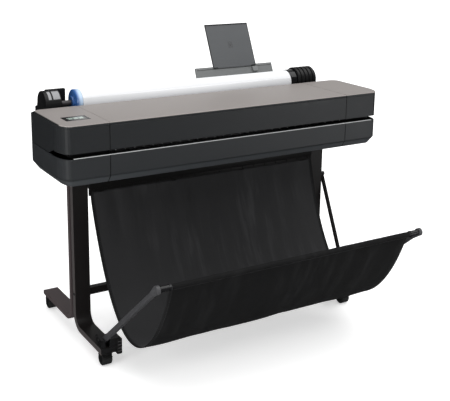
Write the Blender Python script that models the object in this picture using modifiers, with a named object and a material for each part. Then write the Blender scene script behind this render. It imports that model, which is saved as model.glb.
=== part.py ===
"""Large format plotter on a wheeled stand, with a rear paper roll, a sheet tray and a fabric catch basket.

Metres, +Z up, front towards -Y, floor at Z = 0, centre plane at X = 0. The pieces are laid out with the
body's front face at Y = 0, and at the end all move so that the whole part is centred on Y = 0.
"""
import math

import bmesh
import bpy
from mathutils import Matrix, Vector

NAME = "large_format_plotter"
GAP = 0.0003
FRAME_Y = 0.0724

BODY_HALF = 0.6585
SEAM_X = 0.4917
BODY_BACK = 0.3180
BODY_BOTTOM = 0.6530
CHAMFER = 0.0205
CHAMFER_TOP = 0.6815
LIP_Z = 0.7490
SLOT_FLOOR = 0.7522
SLOT_ROOF = 0.7665
DECK_Z = 0.8510
TOP_Z = 0.8610
WALL = 0.0040
CORNER_X = 0.0350
CORNER_Y = 0.0750
REAR_CORNER = 0.0300
DECK_BACK = 0.2880
HINGE_Y = 0.2860
HINGE_Z = 0.8500

ROLL_Y = 0.3670
ROLL_Z = 0.8570
ROLL_R = 0.0460
CORE_R = 0.0275
ROLL_X0 = -0.4520
ROLL_X1 = 0.4620
BAY_BACK = 0.4400
LEFT_SUPPORT = (-0.5920, -0.5340)
RIGHT_SUPPORT = (0.4975, 0.5900)

TRAY_LEAN = math.radians(25.0)
TRAY_Y = 0.4280
TRAY_Z = 0.8800
TRAY_X = (0.0800, 0.4468)
SHEET_X = (0.1610, 0.3655)
SHEET_S = (0.0440, 0.2290)

POST_IN = 0.4890
POST_OUT = 0.5480
POST_FRONT = 0.2070
TUBE = 0.0220
REAR_TUBE = 0.0160
TUBE_GAP = 0.0180
POST_TOP = 0.6527
FOOT_TOP = 0.0720
FOOT_FRONT = -0.0200
FOOT_BACK = 0.5490
BEND = 0.0400
CASTER_X = 0.5215
CASTER_FRONT_Y = -0.0030
CASTER_BACK_Y = 0.5230
WHEEL_R = 0.0230

PIVOT_Y = 0.0050
PIVOT_Z = 0.0920
BAR_Y = -0.3950
BAR_Z = 0.4300
BAR_R = 0.0080
BAR_HALF = 0.5295
ARM_X = (0.5163, 0.5287)
STAY_X = 0.5570
STAY_R = 0.0080
FABRIC_HALF = 0.4775
FABRIC_T = 0.0020


def clear_scene():
    for obj in list(bpy.data.objects):
        bpy.data.objects.remove(obj, do_unlink=True)


clear_scene()
parts = bpy.data.collections.new(NAME)
cutters = bpy.data.collections.new("cutters")
bpy.context.scene.collection.children.link(parts)
bpy.context.scene.collection.children.link(cutters)
cutters.hide_render = True

MATERIALS = {}


def material(name, colour, roughness, metallic=0.0):
    mat = bpy.data.materials.new(name)
    mat.use_nodes = True
    shader = mat.node_tree.nodes["Principled BSDF"]
    shader.inputs["Base Color"].default_value = (*colour, 1.0)
    shader.inputs["Roughness"].default_value = roughness
    shader.inputs["Metallic"].default_value = metallic
    MATERIALS[name] = mat


material("charcoal_shell", (0.030, 0.032, 0.034), 0.45)
material("taupe_top", (0.290, 0.270, 0.255), 0.35, 0.3)
material("black_paint", (0.012, 0.011, 0.011), 0.35)
material("foot_paint", (0.075, 0.065, 0.065), 0.40)
material("black_plastic", (0.010, 0.010, 0.011), 0.50)
material("display_glass", (0.45, 0.50, 0.55), 0.10)
material("blue_plastic", (0.045, 0.125, 0.360), 0.35)
material("grey_plastic", (0.160, 0.165, 0.165), 0.45)
material("light_plastic", (0.420, 0.430, 0.430), 0.45)
material("tray_panel", (0.095, 0.100, 0.103), 0.40)
material("paper", (0.860, 0.860, 0.870), 0.80)
material("cardboard", (0.420, 0.300, 0.190), 0.85)
material("fabric", (0.012, 0.012, 0.013), 0.90)
material("steel", (0.500, 0.500, 0.510), 0.30, 1.0)
material("rubber", (0.015, 0.015, 0.015), 0.80)


def mesh_object(name, mesh, collection=parts):
    obj = bpy.data.objects.new(name, mesh)
    collection.objects.link(obj)
    if collection is cutters:
        obj.display_type = "WIRE"
    return obj


def from_bmesh(name, bm, collection=parts):
    mesh = bpy.data.meshes.new(name)
    bmesh.ops.recalc_face_normals(bm, faces=bm.faces)
    bm.to_mesh(mesh)
    bm.free()
    return mesh_object(name, mesh, collection)


def box(name, x, y, z, collection=parts):
    """Closed box between the given pairs of limits."""
    bm = bmesh.new()
    size = Vector((x[1] - x[0], y[1] - y[0], z[1] - z[0]))
    centre = Vector((x[0] + x[1], y[0] + y[1], z[0] + z[1])) / 2
    move = Matrix.Translation(centre) @ Matrix.Diagonal((*size, 1.0))
    bmesh.ops.create_cube(bm, size=1.0, matrix=move)
    return from_bmesh(name, bm, collection)


def baked(obj):
    """The object with its modifiers made part of its mesh."""
    graph = bpy.context.evaluated_depsgraph_get()
    mesh = bpy.data.meshes.new_from_object(obj.evaluated_get(graph))
    bm = bmesh.new()
    bm.from_mesh(mesh)
    bmesh.ops.remove_doubles(bm, verts=bm.verts, dist=0.00001)
    bmesh.ops.recalc_face_normals(bm, faces=bm.faces)
    bm.to_mesh(mesh)
    bm.free()
    return mesh


def settle(obj):
    """Replaces the object by the same object with its modifiers applied."""
    mesh = baked(obj)
    name = obj.name
    collection = obj.users_collection[0]
    bpy.data.objects.remove(obj, do_unlink=True)
    return mesh_object(name, mesh, collection)


def outline_x(name, loops, x0, x1, collection=parts):
    """Flat outlines in the Y-Z plane, filled and extruded from x0 to x1."""
    curve = bpy.data.curves.new(name + "_outline", "CURVE")
    curve.dimensions = "2D"
    curve.fill_mode = "BOTH"
    curve.extrude = (x1 - x0) / 2
    for points in loops:
        spline = curve.splines.new("POLY")
        spline.points.add(len(points) - 1)
        for slot, (y, z) in zip(spline.points, points):
            slot.co = (y, z, 0.0, 1.0)
        spline.use_cyclic_u = True
    flat = bpy.data.objects.new(name, curve)
    collection.objects.link(flat)
    mesh = baked(flat)
    bpy.data.objects.remove(flat, do_unlink=True)
    mesh.transform(Matrix(((0, 0, 1, (x0 + x1) / 2), (1, 0, 0, 0), (0, 1, 0, 0), (0, 0, 0, 1))))
    return mesh_object(name, mesh, collection)


def tube(name, points, radius, collection=parts):
    """Round bar along the given points."""
    curve = bpy.data.curves.new(name + "_path", "CURVE")
    curve.dimensions = "3D"
    curve.bevel_depth = radius
    curve.bevel_resolution = 2
    curve.use_fill_caps = True
    spline = curve.splines.new("POLY")
    spline.points.add(len(points) - 1)
    for slot, point in zip(spline.points, points):
        slot.co = (*point, 1.0)
    path = bpy.data.objects.new(name, curve)
    collection.objects.link(path)
    mesh = baked(path)
    bpy.data.objects.remove(path, do_unlink=True)
    return mesh_object(name, mesh, collection)


def turned(name, profile, centre, axis="X", steps=32, collection=parts):
    """Turned body from a closed outline of (radius, along) points, set on the given axis."""
    mesh = bpy.data.meshes.new(name)
    verts = [(r, 0.0, a) for r, a in profile]
    edges = [(i, (i + 1) % len(verts)) for i in range(len(verts))]
    mesh.from_pydata(verts, edges, [])
    obj = mesh_object(name, mesh, collection)
    screw = obj.modifiers.new("turn", "SCREW")
    screw.axis = "Z"
    screw.steps = steps
    screw.render_steps = steps
    screw.use_merge_vertices = True
    screw.merge_threshold = 0.00001
    obj = settle(obj)
    if axis == "X":
        turn = Matrix(((0, 0, 1, 0), (0, 1, 0, 0), (-1, 0, 0, 0), (0, 0, 0, 1)))
        obj.data.transform(turn)
    obj.data.transform(Matrix.Translation(centre))
    return obj


def rod_x(name, x0, x1, y, z, radius, sides=32, collection=parts):
    """Solid cylinder along X."""
    bm = bmesh.new()
    turn = Matrix.Translation(((x0 + x1) / 2, y, z)) @ Matrix.Rotation(math.pi / 2, 4, "Y")
    turn = turn @ Matrix.Rotation(math.pi / sides, 4, "Z")
    bmesh.ops.create_cone(
        bm, cap_ends=True, segments=sides, radius1=radius, radius2=radius, depth=x1 - x0, matrix=turn
    )
    return from_bmesh(name, bm, collection)


def rod_z(name, x, y, z0, z1, radius, sides=24, collection=parts):
    """Solid cylinder along Z."""
    bm = bmesh.new()
    move = Matrix.Translation((x, y, (z0 + z1) / 2))
    bmesh.ops.create_cone(
        bm, cap_ends=True, segments=sides, radius1=radius, radius2=radius, depth=z1 - z0, matrix=move
    )
    return from_bmesh(name, bm, collection)


def boolean(obj, tools, operation):
    for tool in tools:
        cut = obj.modifiers.new(operation.lower(), "BOOLEAN")
        cut.operation = operation
        cut.solver = "EXACT"
        cut.object = tool
    return settle(obj)


def cut_by(obj, *tools):
    return boolean(obj, tools, "DIFFERENCE")


def joined(obj, *tools):
    return boolean(obj, tools, "UNION")


def bevelled(obj, width, segments=1, angle=30.0):
    bevel = obj.modifiers.new("bevel", "BEVEL")
    bevel.width = width
    bevel.segments = segments
    bevel.limit_method = "ANGLE"
    bevel.angle_limit = math.radians(angle)
    bevel.use_clamp_overlap = True
    return settle(obj)


def finish(obj, mat, smooth=False):
    obj.data.materials.clear()
    obj.data.materials.append(MATERIALS[mat])
    for face in obj.data.polygons:
        face.use_smooth = smooth
    return obj


def set_origin(obj, point):
    """Moves the object's origin to the given world point, leaving its shape in place."""
    obj.data.transform(Matrix.Translation(-Vector(point)))
    obj.location = point


def arc(cy, cz, radius, start, stop, count):
    """Points on a circle in the Y-Z plane, angles in degrees from +Y towards +Z."""
    found = []
    for i in range(count + 1):
        angle = math.radians(start + (stop - start) * i / count)
        found.append((cy + radius * math.cos(angle), cz + radius * math.sin(angle)))
    return found


# Plan outline of an end cap, and the lofts made from it.


def cap_plan(side, inset, inner_x, back=BODY_BACK, outer=BODY_HALF, front=0.0):
    """Plan outline of one end of the body, from the front seam round to the rear seam."""
    x1 = outer - inset
    y0 = front + inset
    y1 = back - inset
    a = CORNER_X - inset * 0.6
    b = CORNER_Y - inset * 0.6
    r = REAR_CORNER - inset * 0.6
    points = [(inner_x, y0)]
    for i in range(9):
        t = math.pi / 2 * i / 8
        points.append((x1 - a + a * math.sin(t), y0 + b - b * math.cos(t)))
    for i in range(7):
        t = math.pi / 2 * i / 6
        points.append((x1 - r + r * math.cos(t), y1 - r + r * math.sin(t)))
    points.append((inner_x, y1))
    return [(side * x, y) for x, y in points]


def loft(name, sections, collection=parts):
    """Closed body through plan outlines of equal point count, given as (z, outline) from the bottom up."""
    bm = bmesh.new()
    rings = []
    for z, outline in sections:
        rings.append([bm.verts.new((x, y, z)) for x, y in outline])
    count = len(rings[0])
    for low, high in zip(rings, rings[1:]):
        for i in range(count):
            j = (i + 1) % count
            bm.faces.new((low[i], low[j], high[j], high[i]))
    bm.faces.new(rings[0])
    bm.faces.new(rings[-1])
    return from_bmesh(name, bm, collection)


def slot_relief(side):
    """Wedge that opens the exit slot round the front corner and fades out along the side."""
    points = [(-0.02, 0.740), (0.125, 0.740), (0.125, LIP_Z + 0.0005), (0.085, SLOT_ROOF), (-0.02, SLOT_ROOF)]
    x0, x1 = sorted((side * (SEAM_X - 0.02), side * (BODY_HALF + 0.02)))
    return outline_x("slot_relief", [points], x0, x1, cutters)


def end_caps(side, word):
    seam = SEAM_X + GAP
    open_x = SEAM_X - 0.01
    lower = loft(
        "lower_" + word + "_end_cap",
        [
            (BODY_BOTTOM, cap_plan(side, CHAMFER, seam)),
            (CHAMFER_TOP, cap_plan(side, 0.0, seam)),
            (LIP_Z, cap_plan(side, 0.0, seam)),
        ],
    )
    hollow = loft(
        "lower_hollow",
        [
            (BODY_BOTTOM + WALL, cap_plan(side, CHAMFER + WALL, open_x)),
            (CHAMFER_TOP + 0.001, cap_plan(side, WALL, open_x)),
            (LIP_Z + 0.02, cap_plan(side, WALL, open_x)),
        ],
        cutters,
    )
    lower = bevelled(cut_by(lower, hollow), 0.0012, 1, 40)
    finish(lower, "charcoal_shell")

    upper = loft(
        "upper_" + word + "_end_cap",
        [(LIP_Z + GAP, cap_plan(side, 0.0, seam)), (DECK_Z - GAP, cap_plan(side, 0.0, seam))],
    )
    well = loft(
        "upper_well",
        [(SLOT_ROOF + WALL, cap_plan(side, WALL, open_x)), (DECK_Z + 0.02, cap_plan(side, WALL, open_x))],
        cutters,
    )
    skirt = loft(
        "upper_skirt",
        [(LIP_Z - 0.02, cap_plan(side, WALL, open_x)), (SLOT_ROOF, cap_plan(side, WALL, open_x))],
        cutters,
    )
    upper = bevelled(cut_by(upper, well, skirt, slot_relief(side)), 0.0008, 1, 40)
    finish(upper, "charcoal_shell")


def build_shell():
    for side, word in ((-1, "left"), (1, "right")):
        end_caps(side, word)

    front = [
        (0.0, LIP_Z),
        (0.0, CHAMFER_TOP),
        (CHAMFER, BODY_BOTTOM),
        (0.2960, BODY_BOTTOM),
        (0.2960, BODY_BOTTOM + WALL),
        (CHAMFER + 0.0016, BODY_BOTTOM + WALL),
        (WALL, CHAMFER_TOP + 0.0013),
        (WALL, LIP_Z),
    ]
    lower = outline_x("lower_front_cover", [front], -SEAM_X + GAP, SEAM_X - GAP)
    finish(bevelled(lower, 0.0010, 1, 50), "charcoal_shell")

    plate = box("exit_plate", (-0.6200, 0.6200), (0.0005, 0.0320), (LIP_Z + GAP, SLOT_FLOOR))
    finish(bevelled(plate, 0.0010, 2), "light_plastic")

    chassis = box("chassis", (-0.4855, 0.4855), (0.0330, 0.3170), (0.6575, 0.6625))
    solids = [box("chassis_back", (-0.4855, 0.4855), (0.3000, 0.3170), (0.6575, 0.8450), cutters)]
    for side in (-1, 1):
        x = sorted((side * 0.4800, side * 0.4855))
        solids.append(box("chassis_end", x, (0.0450, 0.3170), (0.6575, 0.8450), cutters))
        x = sorted((side * 0.4840, side * 0.6270))
        solids.append(box("chassis_liner", x, (0.0335, 0.2850), (LIP_Z + GAP, SLOT_ROOF - GAP), cutters))
    finish(joined(chassis, *solids), "black_plastic")


def build_top():
    lid = box("top_cover", (-SEAM_X + GAP, SEAM_X - GAP), (0.0, DECK_BACK), (DECK_Z, TOP_Z))
    finish(bevelled(lid, 0.0025, 2), "taupe_top")

    roof = DECK_Z - GAP
    band = [
        (0.0, roof),
        (0.0, SLOT_ROOF),
        (0.0300, SLOT_ROOF),
        (0.0300, SLOT_ROOF + WALL),
        (WALL, SLOT_ROOF + WALL),
        (WALL, roof - WALL),
        (0.0440, roof - WALL),
        (0.0440, roof),
    ]
    panel = outline_x("lid_front_panel", [band], -SEAM_X + GAP, SEAM_X - GAP)
    finish(bevelled(panel, 0.0010, 1, 50), "charcoal_shell")

    for side, name in ((-1, "left_deck_panel"), (1, "ink_bay_cover")):
        plan = cap_plan(side, 0.0, SEAM_X + GAP, DECK_BACK)
        low = cap_plan(side, 0.0008, SEAM_X + GAP, DECK_BACK)
        deck = loft(name, [(DECK_Z, low), (DECK_Z + 0.0008, plan), (TOP_Z, plan)])
        deck = bevelled(deck, 0.0025, 2, 60)
        if side < 0:
            pocket = box("display_pocket", (-0.6137, -0.5267), (0.0715, 0.1315), (0.8570, 0.8700), cutters)
            deck = cut_by(deck, pocket)
        finish(deck, "taupe_top")

    bezel = box("display_bezel", (-0.6134, -0.5270), (0.0718, 0.1312), (0.8573, 0.8616))
    window = box("display_window", (-0.6060, -0.5344), (0.0785, 0.1245), (0.8590, 0.8700), cutters)
    finish(bevelled(cut_by(bezel, window), 0.0006), "black_plastic")
    glass = box("display_glass", (-0.6057, -0.5347), (0.0788, 0.1242), (0.8593, 0.8614))
    finish(bevelled(glass, 0.0004), "display_glass")


def build_inside():
    finish(box("platen", (-0.4790, 0.4790), (0.0345, 0.2000), (0.7400, 0.7500)), "black_plastic")
    roller = rod_x("feed_roller", -0.4785, 0.4785, 0.2150, 0.7420, 0.0090, 24)
    finish(roller, "rubber", True)
    set_origin(roller, (0.0, 0.2150, 0.7420))
    rail = box("carriage_rail", (-0.4795, 0.4795), (0.2650, 0.2995), (0.7900, 0.8200))
    finish(bevelled(rail, 0.0020), "steel")
    carriage = box("ink_carriage", (0.3500, 0.4600), (0.1300, 0.2645), (0.7620, 0.8300))
    carriage = finish(bevelled(carriage, 0.0040, 2), "grey_plastic")
    set_origin(carriage, (0.4050, 0.2000, 0.7960))
    for i in range(4):
        x0 = 0.5080 + 0.0290 * i
        tank = box("ink_tank_" + str(i + 1), (x0, x0 + 0.0270), (0.0900, 0.2700), (0.7710, 0.8400))
        finish(bevelled(tank, 0.0020), "black_plastic")
    board = box("electronics_box", (-0.6200, -0.5000), (0.1000, 0.2800), (0.6580, 0.7300))
    finish(bevelled(board, 0.0020), "steel")


def bay_profile():
    """Rear bay in the Y-Z plane: floor, back and the trough under the roll."""
    return [
        (0.3188, 0.6640),
        (0.4050, 0.6640),
        (BAY_BACK, 0.7000),
        (BAY_BACK, 0.8420),
        (0.4320, 0.8420),
        (0.4240, 0.8220),
        (0.4080, 0.8060),
        (0.3850, 0.7980),
        (0.3500, 0.7970),
        (0.3300, 0.8030),
        (0.3188, 0.8120),
    ]


def build_rear():
    inner = [
        (0.3228, 0.6680),
        (0.4033, 0.6680),
        (0.4360, 0.7016),
        (0.4360, 0.8280),
        (0.4268, 0.8190),
        (0.4100, 0.8021),
        (0.3858, 0.7940),
        (0.3492, 0.7930),
        (0.3228, 0.8010),
    ]
    x0 = LEFT_SUPPORT[1] + GAP
    x1 = RIGHT_SUPPORT[0] - GAP
    cover = outline_x("rear_cover", [bay_profile(), inner], x0, x1)
    finish(bevelled(cover, 0.0010, 1, 50), "charcoal_shell")

    base = bay_profile()[:4]
    hump = arc(ROLL_Y, ROLL_Z + 0.0040, 0.0480, 0.0, 180.0, 16)
    outline = base + [(BAY_BACK, 0.8420)] + [(0.4200, 0.8480)] + hump + [(0.3188, 0.8500)]
    left = outline_x("left_spindle_support", [outline], *LEFT_SUPPORT)
    guard = box("support_guard", (-0.5560, -0.4830), (0.4180, 0.4360), (0.8430, 0.9000), cutters)
    finish(bevelled(joined(left, guard), 0.0020, 1, 50), "black_plastic")

    block = base + [(BAY_BACK, 0.8420), (0.4150, 0.8480), (0.3300, 0.8480), (0.3188, 0.8400)]
    right = outline_x("right_spindle_support", [block], *RIGHT_SUPPORT)
    width = RIGHT_SUPPORT[1] - RIGHT_SUPPORT[0]
    profile = [(0.0, 0.0), (0.0470, 0.0), (0.0500, 0.0030)]
    for i in range(4):
        start = 0.0120 + 0.0190 * i
        profile += [(0.0500, start), (0.0460, start + 0.0015), (0.0460, start + 0.0055), (0.0500, start + 0.0070)]
    profile += [(0.0500, width - 0.0060), (0.0450, width), (0.0, width)]
    centre = (RIGHT_SUPPORT[0], ROLL_Y + 0.0025, ROLL_Z + 0.0050)
    drum = turned("support_drum", profile[::-1], centre, "X", 36, cutters)
    finish(joined(right, drum), "black_plastic")

    inlet = box("power_inlet", (-0.5200, -0.4700), (BAY_BACK + GAP, 0.4490), (0.7200, 0.7550))
    socket = box("inlet_socket", (-0.5100, -0.4800), (0.4430, 0.4600), (0.7260, 0.7490), cutters)
    finish(cut_by(bevelled(inlet, 0.0015), socket), "black_plastic")


def build_roll():
    centre = (0.0, ROLL_Y, ROLL_Z)
    hub_x = -0.4830
    paper = [(CORE_R + GAP, ROLL_X0), (ROLL_R, ROLL_X0), (ROLL_R, ROLL_X1), (CORE_R + GAP, ROLL_X1)]
    finish(turned("paper_roll", paper[::-1], centre, steps=64), "paper", True)
    core = [(0.0252, ROLL_X0), (CORE_R, ROLL_X0), (CORE_R, ROLL_X1), (0.0252, ROLL_X1)]
    finish(turned("roll_core", core[::-1], centre, steps=32), "cardboard", True)
    rod = rod_x("spindle_rod", LEFT_SUPPORT[1] + GAP, RIGHT_SUPPORT[0] - GAP, ROLL_Y, ROLL_Z, 0.0100, 24)
    finish(rod, "black_plastic", True)
    start = LEFT_SUPPORT[1] + 0.0015
    collar = [
        (0.0105, start),
        (0.0160, start),
        (0.0175, start + 0.0015),
        (0.0175, start + 0.0105),
        (0.0160, start + 0.0120),
        (0.0105, start + 0.0120),
    ]
    finish(turned("spindle_collar", collar[::-1], centre, steps=32), "light_plastic")
    face = ROLL_X0 - GAP
    blue = [
        (0.0105, hub_x),
        (0.0220, hub_x),
        (0.0240, hub_x + 0.0060),
        (0.0455, hub_x + 0.0080),
        (0.0483, hub_x + 0.0110),
        (0.0483, face - 0.0030),
        (0.0465, face),
        (0.0249, face),
        (0.0249, face + 0.0250),
        (0.0105, face + 0.0250),
    ]
    hub = finish(turned("blue_hub", blue[::-1], centre, steps=48), "blue_plastic")
    set_origin(hub, (hub_x, ROLL_Y, ROLL_Z))
    face = ROLL_X1 + GAP
    black = [
        (0.0105, face - 0.0250),
        (0.0249, face - 0.0250),
        (0.0249, face),
        (0.0465, face),
        (0.0483, face + 0.0030),
        (0.0483, face + 0.0280),
        (0.0300, face + 0.0300),
        (0.0300, face + 0.0340),
        (0.0105, face + 0.0340),
    ]
    finish(turned("black_hub", black[::-1], centre, steps=48), "black_plastic")
    for name in ("paper_roll", "roll_core", "spindle_rod", "spindle_collar", "black_hub"):
        set_origin(parts.objects[name], centre)


def tray_point(s, out):
    """Point in the Y-Z plane: s up along the leaning tray, out behind its front face."""
    y = TRAY_Y + s * math.sin(TRAY_LEAN) + out * math.cos(TRAY_LEAN)
    z = TRAY_Z + s * math.cos(TRAY_LEAN) - out * math.sin(TRAY_LEAN)
    return y, z


def build_tray():
    profile = [
        (0.4325, 0.8423),
        (0.4395, 0.8423),
        (0.4395, 0.8840),
        tray_point(0.0520, 0.0060),
        tray_point(0.0520, 0.0),
        tray_point(0.0, 0.0),
    ]
    base = outline_x("tray_base", [profile], *TRAY_X)
    finish(bevelled(base, 0.0010, 1, 40), "grey_plastic")
    leaf = [
        tray_point(SHEET_S[0], -0.0012),
        tray_point(SHEET_S[1], -0.0012),
        tray_point(SHEET_S[1], -0.0052),
        tray_point(SHEET_S[0], -0.0052),
    ]
    extension = outline_x("tray_extension", [leaf], *SHEET_X)
    extension = finish(bevelled(extension, 0.0012, 2, 40), "tray_panel")
    y, z = tray_point(SHEET_S[0] + 0.0020, -0.0032)
    set_origin(extension, (sum(SHEET_X) / 2, y, z))
    slider = [
        tray_point(0.0180, -0.0003),
        tray_point(0.0400, -0.0003),
        tray_point(0.0400, -0.0080),
        tray_point(0.0180, -0.0110),
    ]
    guide = outline_x("tray_guide", [slider], 0.3450, 0.3700)
    guide = finish(bevelled(guide, 0.0010, 1, 40), "black_plastic")
    y, z = tray_point(0.0280, -0.0060)
    set_origin(guide, (0.3575, y, z))


def bent_outline(front, end, direction, thick):
    """Side outline of a flat tube that drops down the post and bends out into a foot."""
    d = direction
    outer = front - d * thick
    low = FOOT_TOP - thick
    far = BEND + thick
    centre = (front + d * BEND, FOOT_TOP + BEND)
    angles = (180.0, 270.0) if d > 0 else (0.0, -90.0)
    points = [(front, POST_TOP)]
    points += arc(*centre, BEND, *angles, 8)
    points += [(end, FOOT_TOP), (end, low)]
    points += arc(*centre, far, angles[1], angles[0], 10)
    points += [(outer, POST_TOP)]
    return points


def build_stand():
    rear_face = POST_FRONT + TUBE + TUBE_GAP + REAR_TUBE
    for side, word in ((-1, "left"), (1, "right")):
        x = sorted((side * POST_IN, side * POST_OUT))
        shape = bent_outline(POST_FRONT, FOOT_FRONT, -1, TUBE)
        front = outline_x(word + "_front_tube", [shape], *x)
        finish(bevelled(front, 0.0020, 2, 40), "black_paint")
        shape = bent_outline(rear_face, FOOT_BACK, 1, REAR_TUBE)
        rear = outline_x(word + "_rear_tube", [shape], *x)
        finish(bevelled(rear, 0.0020, 2, 40), "foot_paint")

        web = (POST_FRONT + TUBE + GAP, rear_face - REAR_TUBE - GAP)
        x = sorted((side * 0.5010, side * 0.5360))
        web = box(word + "_post_web", x, web, (0.1600, 0.6400))
        finish(bevelled(web, 0.0015), "black_paint")

        x = sorted((side * 0.4700, side * (POST_IN - GAP)))
        bracket = box(word + "_arm_bracket", x, (-0.0250, 0.0350), (0.0400, 0.0960))
        x = sorted((side * 0.4780, side * 0.5140))
        ear = box("bracket_ear", x, (-0.0200, 0.0260), (FOOT_TOP + 0.0006, 0.1020), cutters)
        x = sorted((side * 0.5310, side * 0.5450))
        outer = box("bracket_outer_ear", x, (-0.0200, 0.0260), (FOOT_TOP + 0.0006, 0.1020), cutters)
        x = sorted((side * 0.4900, side * 0.5400))
        pin = rod_x("bracket_pin", *x, PIVOT_Y, PIVOT_Z, 0.0050, 20, cutters)
        x = sorted((side * 0.5440, side * 0.5500))
        head = rod_x("bracket_head", *x, PIVOT_Y, PIVOT_Z, 0.0085, 6, cutters)
        finish(joined(bevelled(bracket, 0.0020), ear, outer, pin, head), "black_plastic")

    ends = ((0.0259, 0.0600), (0.2195, 0.4850))
    stay = tube("right_stay_rod", [(STAY_X, y, z) for y, z in ends], STAY_R)
    eyes = [rod_x("stay_eye", POST_OUT + GAP, 0.5665, y, z, 0.0084, 20, cutters) for y, z in ends]
    finish(joined(stay, *eyes), "black_paint", True)

    beam_x = (-POST_IN + GAP, POST_IN - GAP)
    upper = box("upper_cross_beam", beam_x, (0.2005, 0.2360), (0.5750, BODY_BOTTOM - GAP))
    finish(bevelled(upper, 0.0020), "black_paint")
    lower = box("lower_cross_beam", beam_x, (0.2120, 0.2380), (0.1700, 0.1970))
    finish(bevelled(lower, 0.0020), "black_paint")

    bar = rod_x("rear_fabric_bar", -0.4770, 0.4770, 0.2060, 0.5560, 0.0060, 20)
    tabs = []
    for x in (-0.4400, -0.1500, 0.1500, 0.4400):
        tabs.append(box("bar_tab", (x - 0.010, x + 0.010), (0.2040, 0.2080), (0.5560, 0.5747), cutters))
    finish(joined(bar, *tabs), "black_paint")


def arm_outline():
    """Arm in the Y-Z plane: two eyes joined by a straight flat bar."""
    run = Vector((BAR_Y - PIVOT_Y, BAR_Z - PIVOT_Z))
    heading = math.degrees(math.atan2(run.y, run.x))
    low, high = 0.0100, 0.0140
    neck = run.normalized()
    cross = Vector((-neck.y, neck.x))
    points = arc(PIVOT_Y, PIVOT_Z, low, heading + 110, heading + 250, 12)
    start = Vector((BAR_Y, BAR_Z)) - neck * 0.0450
    points += [tuple(start - cross * 0.0078)]
    points += arc(BAR_Y, BAR_Z, high, heading - 115, heading + 115, 14)
    points += [tuple(start + cross * 0.0078)]
    return points


def smooth_path(points, rounds):
    """Corner-cutting refinement that keeps the two ends."""
    for _ in range(rounds):
        fresh = [points[0]]
        for (ay, az), (by, bz) in zip(points, points[1:]):
            fresh.append((ay * 0.75 + by * 0.25, az * 0.75 + bz * 0.25))
            fresh.append((ay * 0.25 + by * 0.75, az * 0.25 + bz * 0.75))
        fresh.append(points[-1])
        points = fresh
    return points


FABRIC_PATH = [
    (0.2050, 0.5470),
    (0.1780, 0.4700),
    (0.1490, 0.3800),
    (0.1130, 0.2950),
    (0.0640, 0.2150),
    (0.0080, 0.1590),
    (-0.0550, 0.1285),
    (-0.1150, 0.1195),
    (-0.1700, 0.1355),
    (-0.2350, 0.1785),
    (-0.2880, 0.2330),
    (-0.3310, 0.3000),
    (-0.3560, 0.3480),
    (-0.3760, 0.3900),
    (-0.3835, 0.4180),
]


def build_basket():
    for side, word in ((-1, "left"), (1, "right")):
        x = sorted((side * ARM_X[0], side * ARM_X[1]))
        holes = [arc(PIVOT_Y, PIVOT_Z, 0.0054, 0, 345, 23), arc(BAR_Y, BAR_Z, BAR_R + GAP, 0, 345, 23)]
        arm = outline_x(word + "_arm", [arm_outline(), *holes], *x)
        finish(arm, "grey_plastic")
        set_origin(arm, (0.0, PIVOT_Y, PIVOT_Z))
    bar = rod_x("front_bar", -BAR_HALF, BAR_HALF, BAR_Y, BAR_Z, BAR_R - 0.0001, 24)
    finish(bar, "grey_plastic", True)
    set_origin(bar, (0.0, PIVOT_Y, PIVOT_Z))

    middle = smooth_path(FABRIC_PATH, 1)
    front, back = [], []
    for i, point in enumerate(middle):
        before = Vector(middle[max(i - 1, 0)])
        after = Vector(middle[min(i + 1, len(middle) - 1)])
        along = (after - before).normalized()
        normal = Vector((-along.y, along.x)) * (FABRIC_T / 2)
        front.append(tuple(Vector(point) + normal))
        back.append(tuple(Vector(point) - normal))
    cloth = outline_x("basket_fabric", [front + back[::-1]], -FABRIC_HALF, FABRIC_HALF)
    finish(cloth, "fabric")


def caster(name, x, y, thick):
    """Swivel fork with its axle, and the wheel that turns on it."""
    top = FOOT_TOP - thick - GAP
    axle_y = y + 0.0080
    fork = rod_z(name + "_fork", x, y, WHEEL_R * 2 + 0.0010, top, 0.0220)
    solids = []
    for side in (-1, 1):
        cheek = sorted((x + side * 0.0188, x + side * 0.0215))
        solids.append(box("fork_cheek", cheek, (axle_y - 0.0090, axle_y + 0.0090), (0.0140, top - 0.001), cutters))
    solids.append(rod_x("fork_axle", x - 0.0200, x + 0.0200, axle_y, WHEEL_R, 0.0030, 16, cutters))
    fork = finish(joined(fork, *solids), "black_plastic")
    set_origin(fork, (x, y, top))
    rim = [
        (0.0034, -0.0180),
        (WHEEL_R - 0.0030, -0.0180),
        (WHEEL_R, -0.0150),
        (WHEEL_R, 0.0150),
        (WHEEL_R - 0.0030, 0.0180),
        (0.0034, 0.0180),
    ]
    wheel = turned(name + "_wheel", rim[::-1], (0.0, 0.0, 0.0), "X", 24)
    wheel.data.transform(Matrix.Rotation(math.pi / 24, 4, "X"))
    wheel.data.transform(Matrix.Scale(1.0 / math.cos(math.pi / 24), 4, (0, 1, 0)))
    wheel.data.transform(Matrix.Scale(1.0 / math.cos(math.pi / 24), 4, (0, 0, 1)))
    wheel.data.transform(Matrix.Translation((x, axle_y, WHEEL_R)))
    set_origin(finish(wheel, "rubber"), (x, axle_y, WHEEL_R))


def build_casters():
    for side, word in ((-1, "left"), (1, "right")):
        caster("front_" + word, side * CASTER_X, CASTER_FRONT_Y, TUBE)
        caster("rear_" + word, side * CASTER_X, CASTER_BACK_Y, REAR_TUBE)


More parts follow.
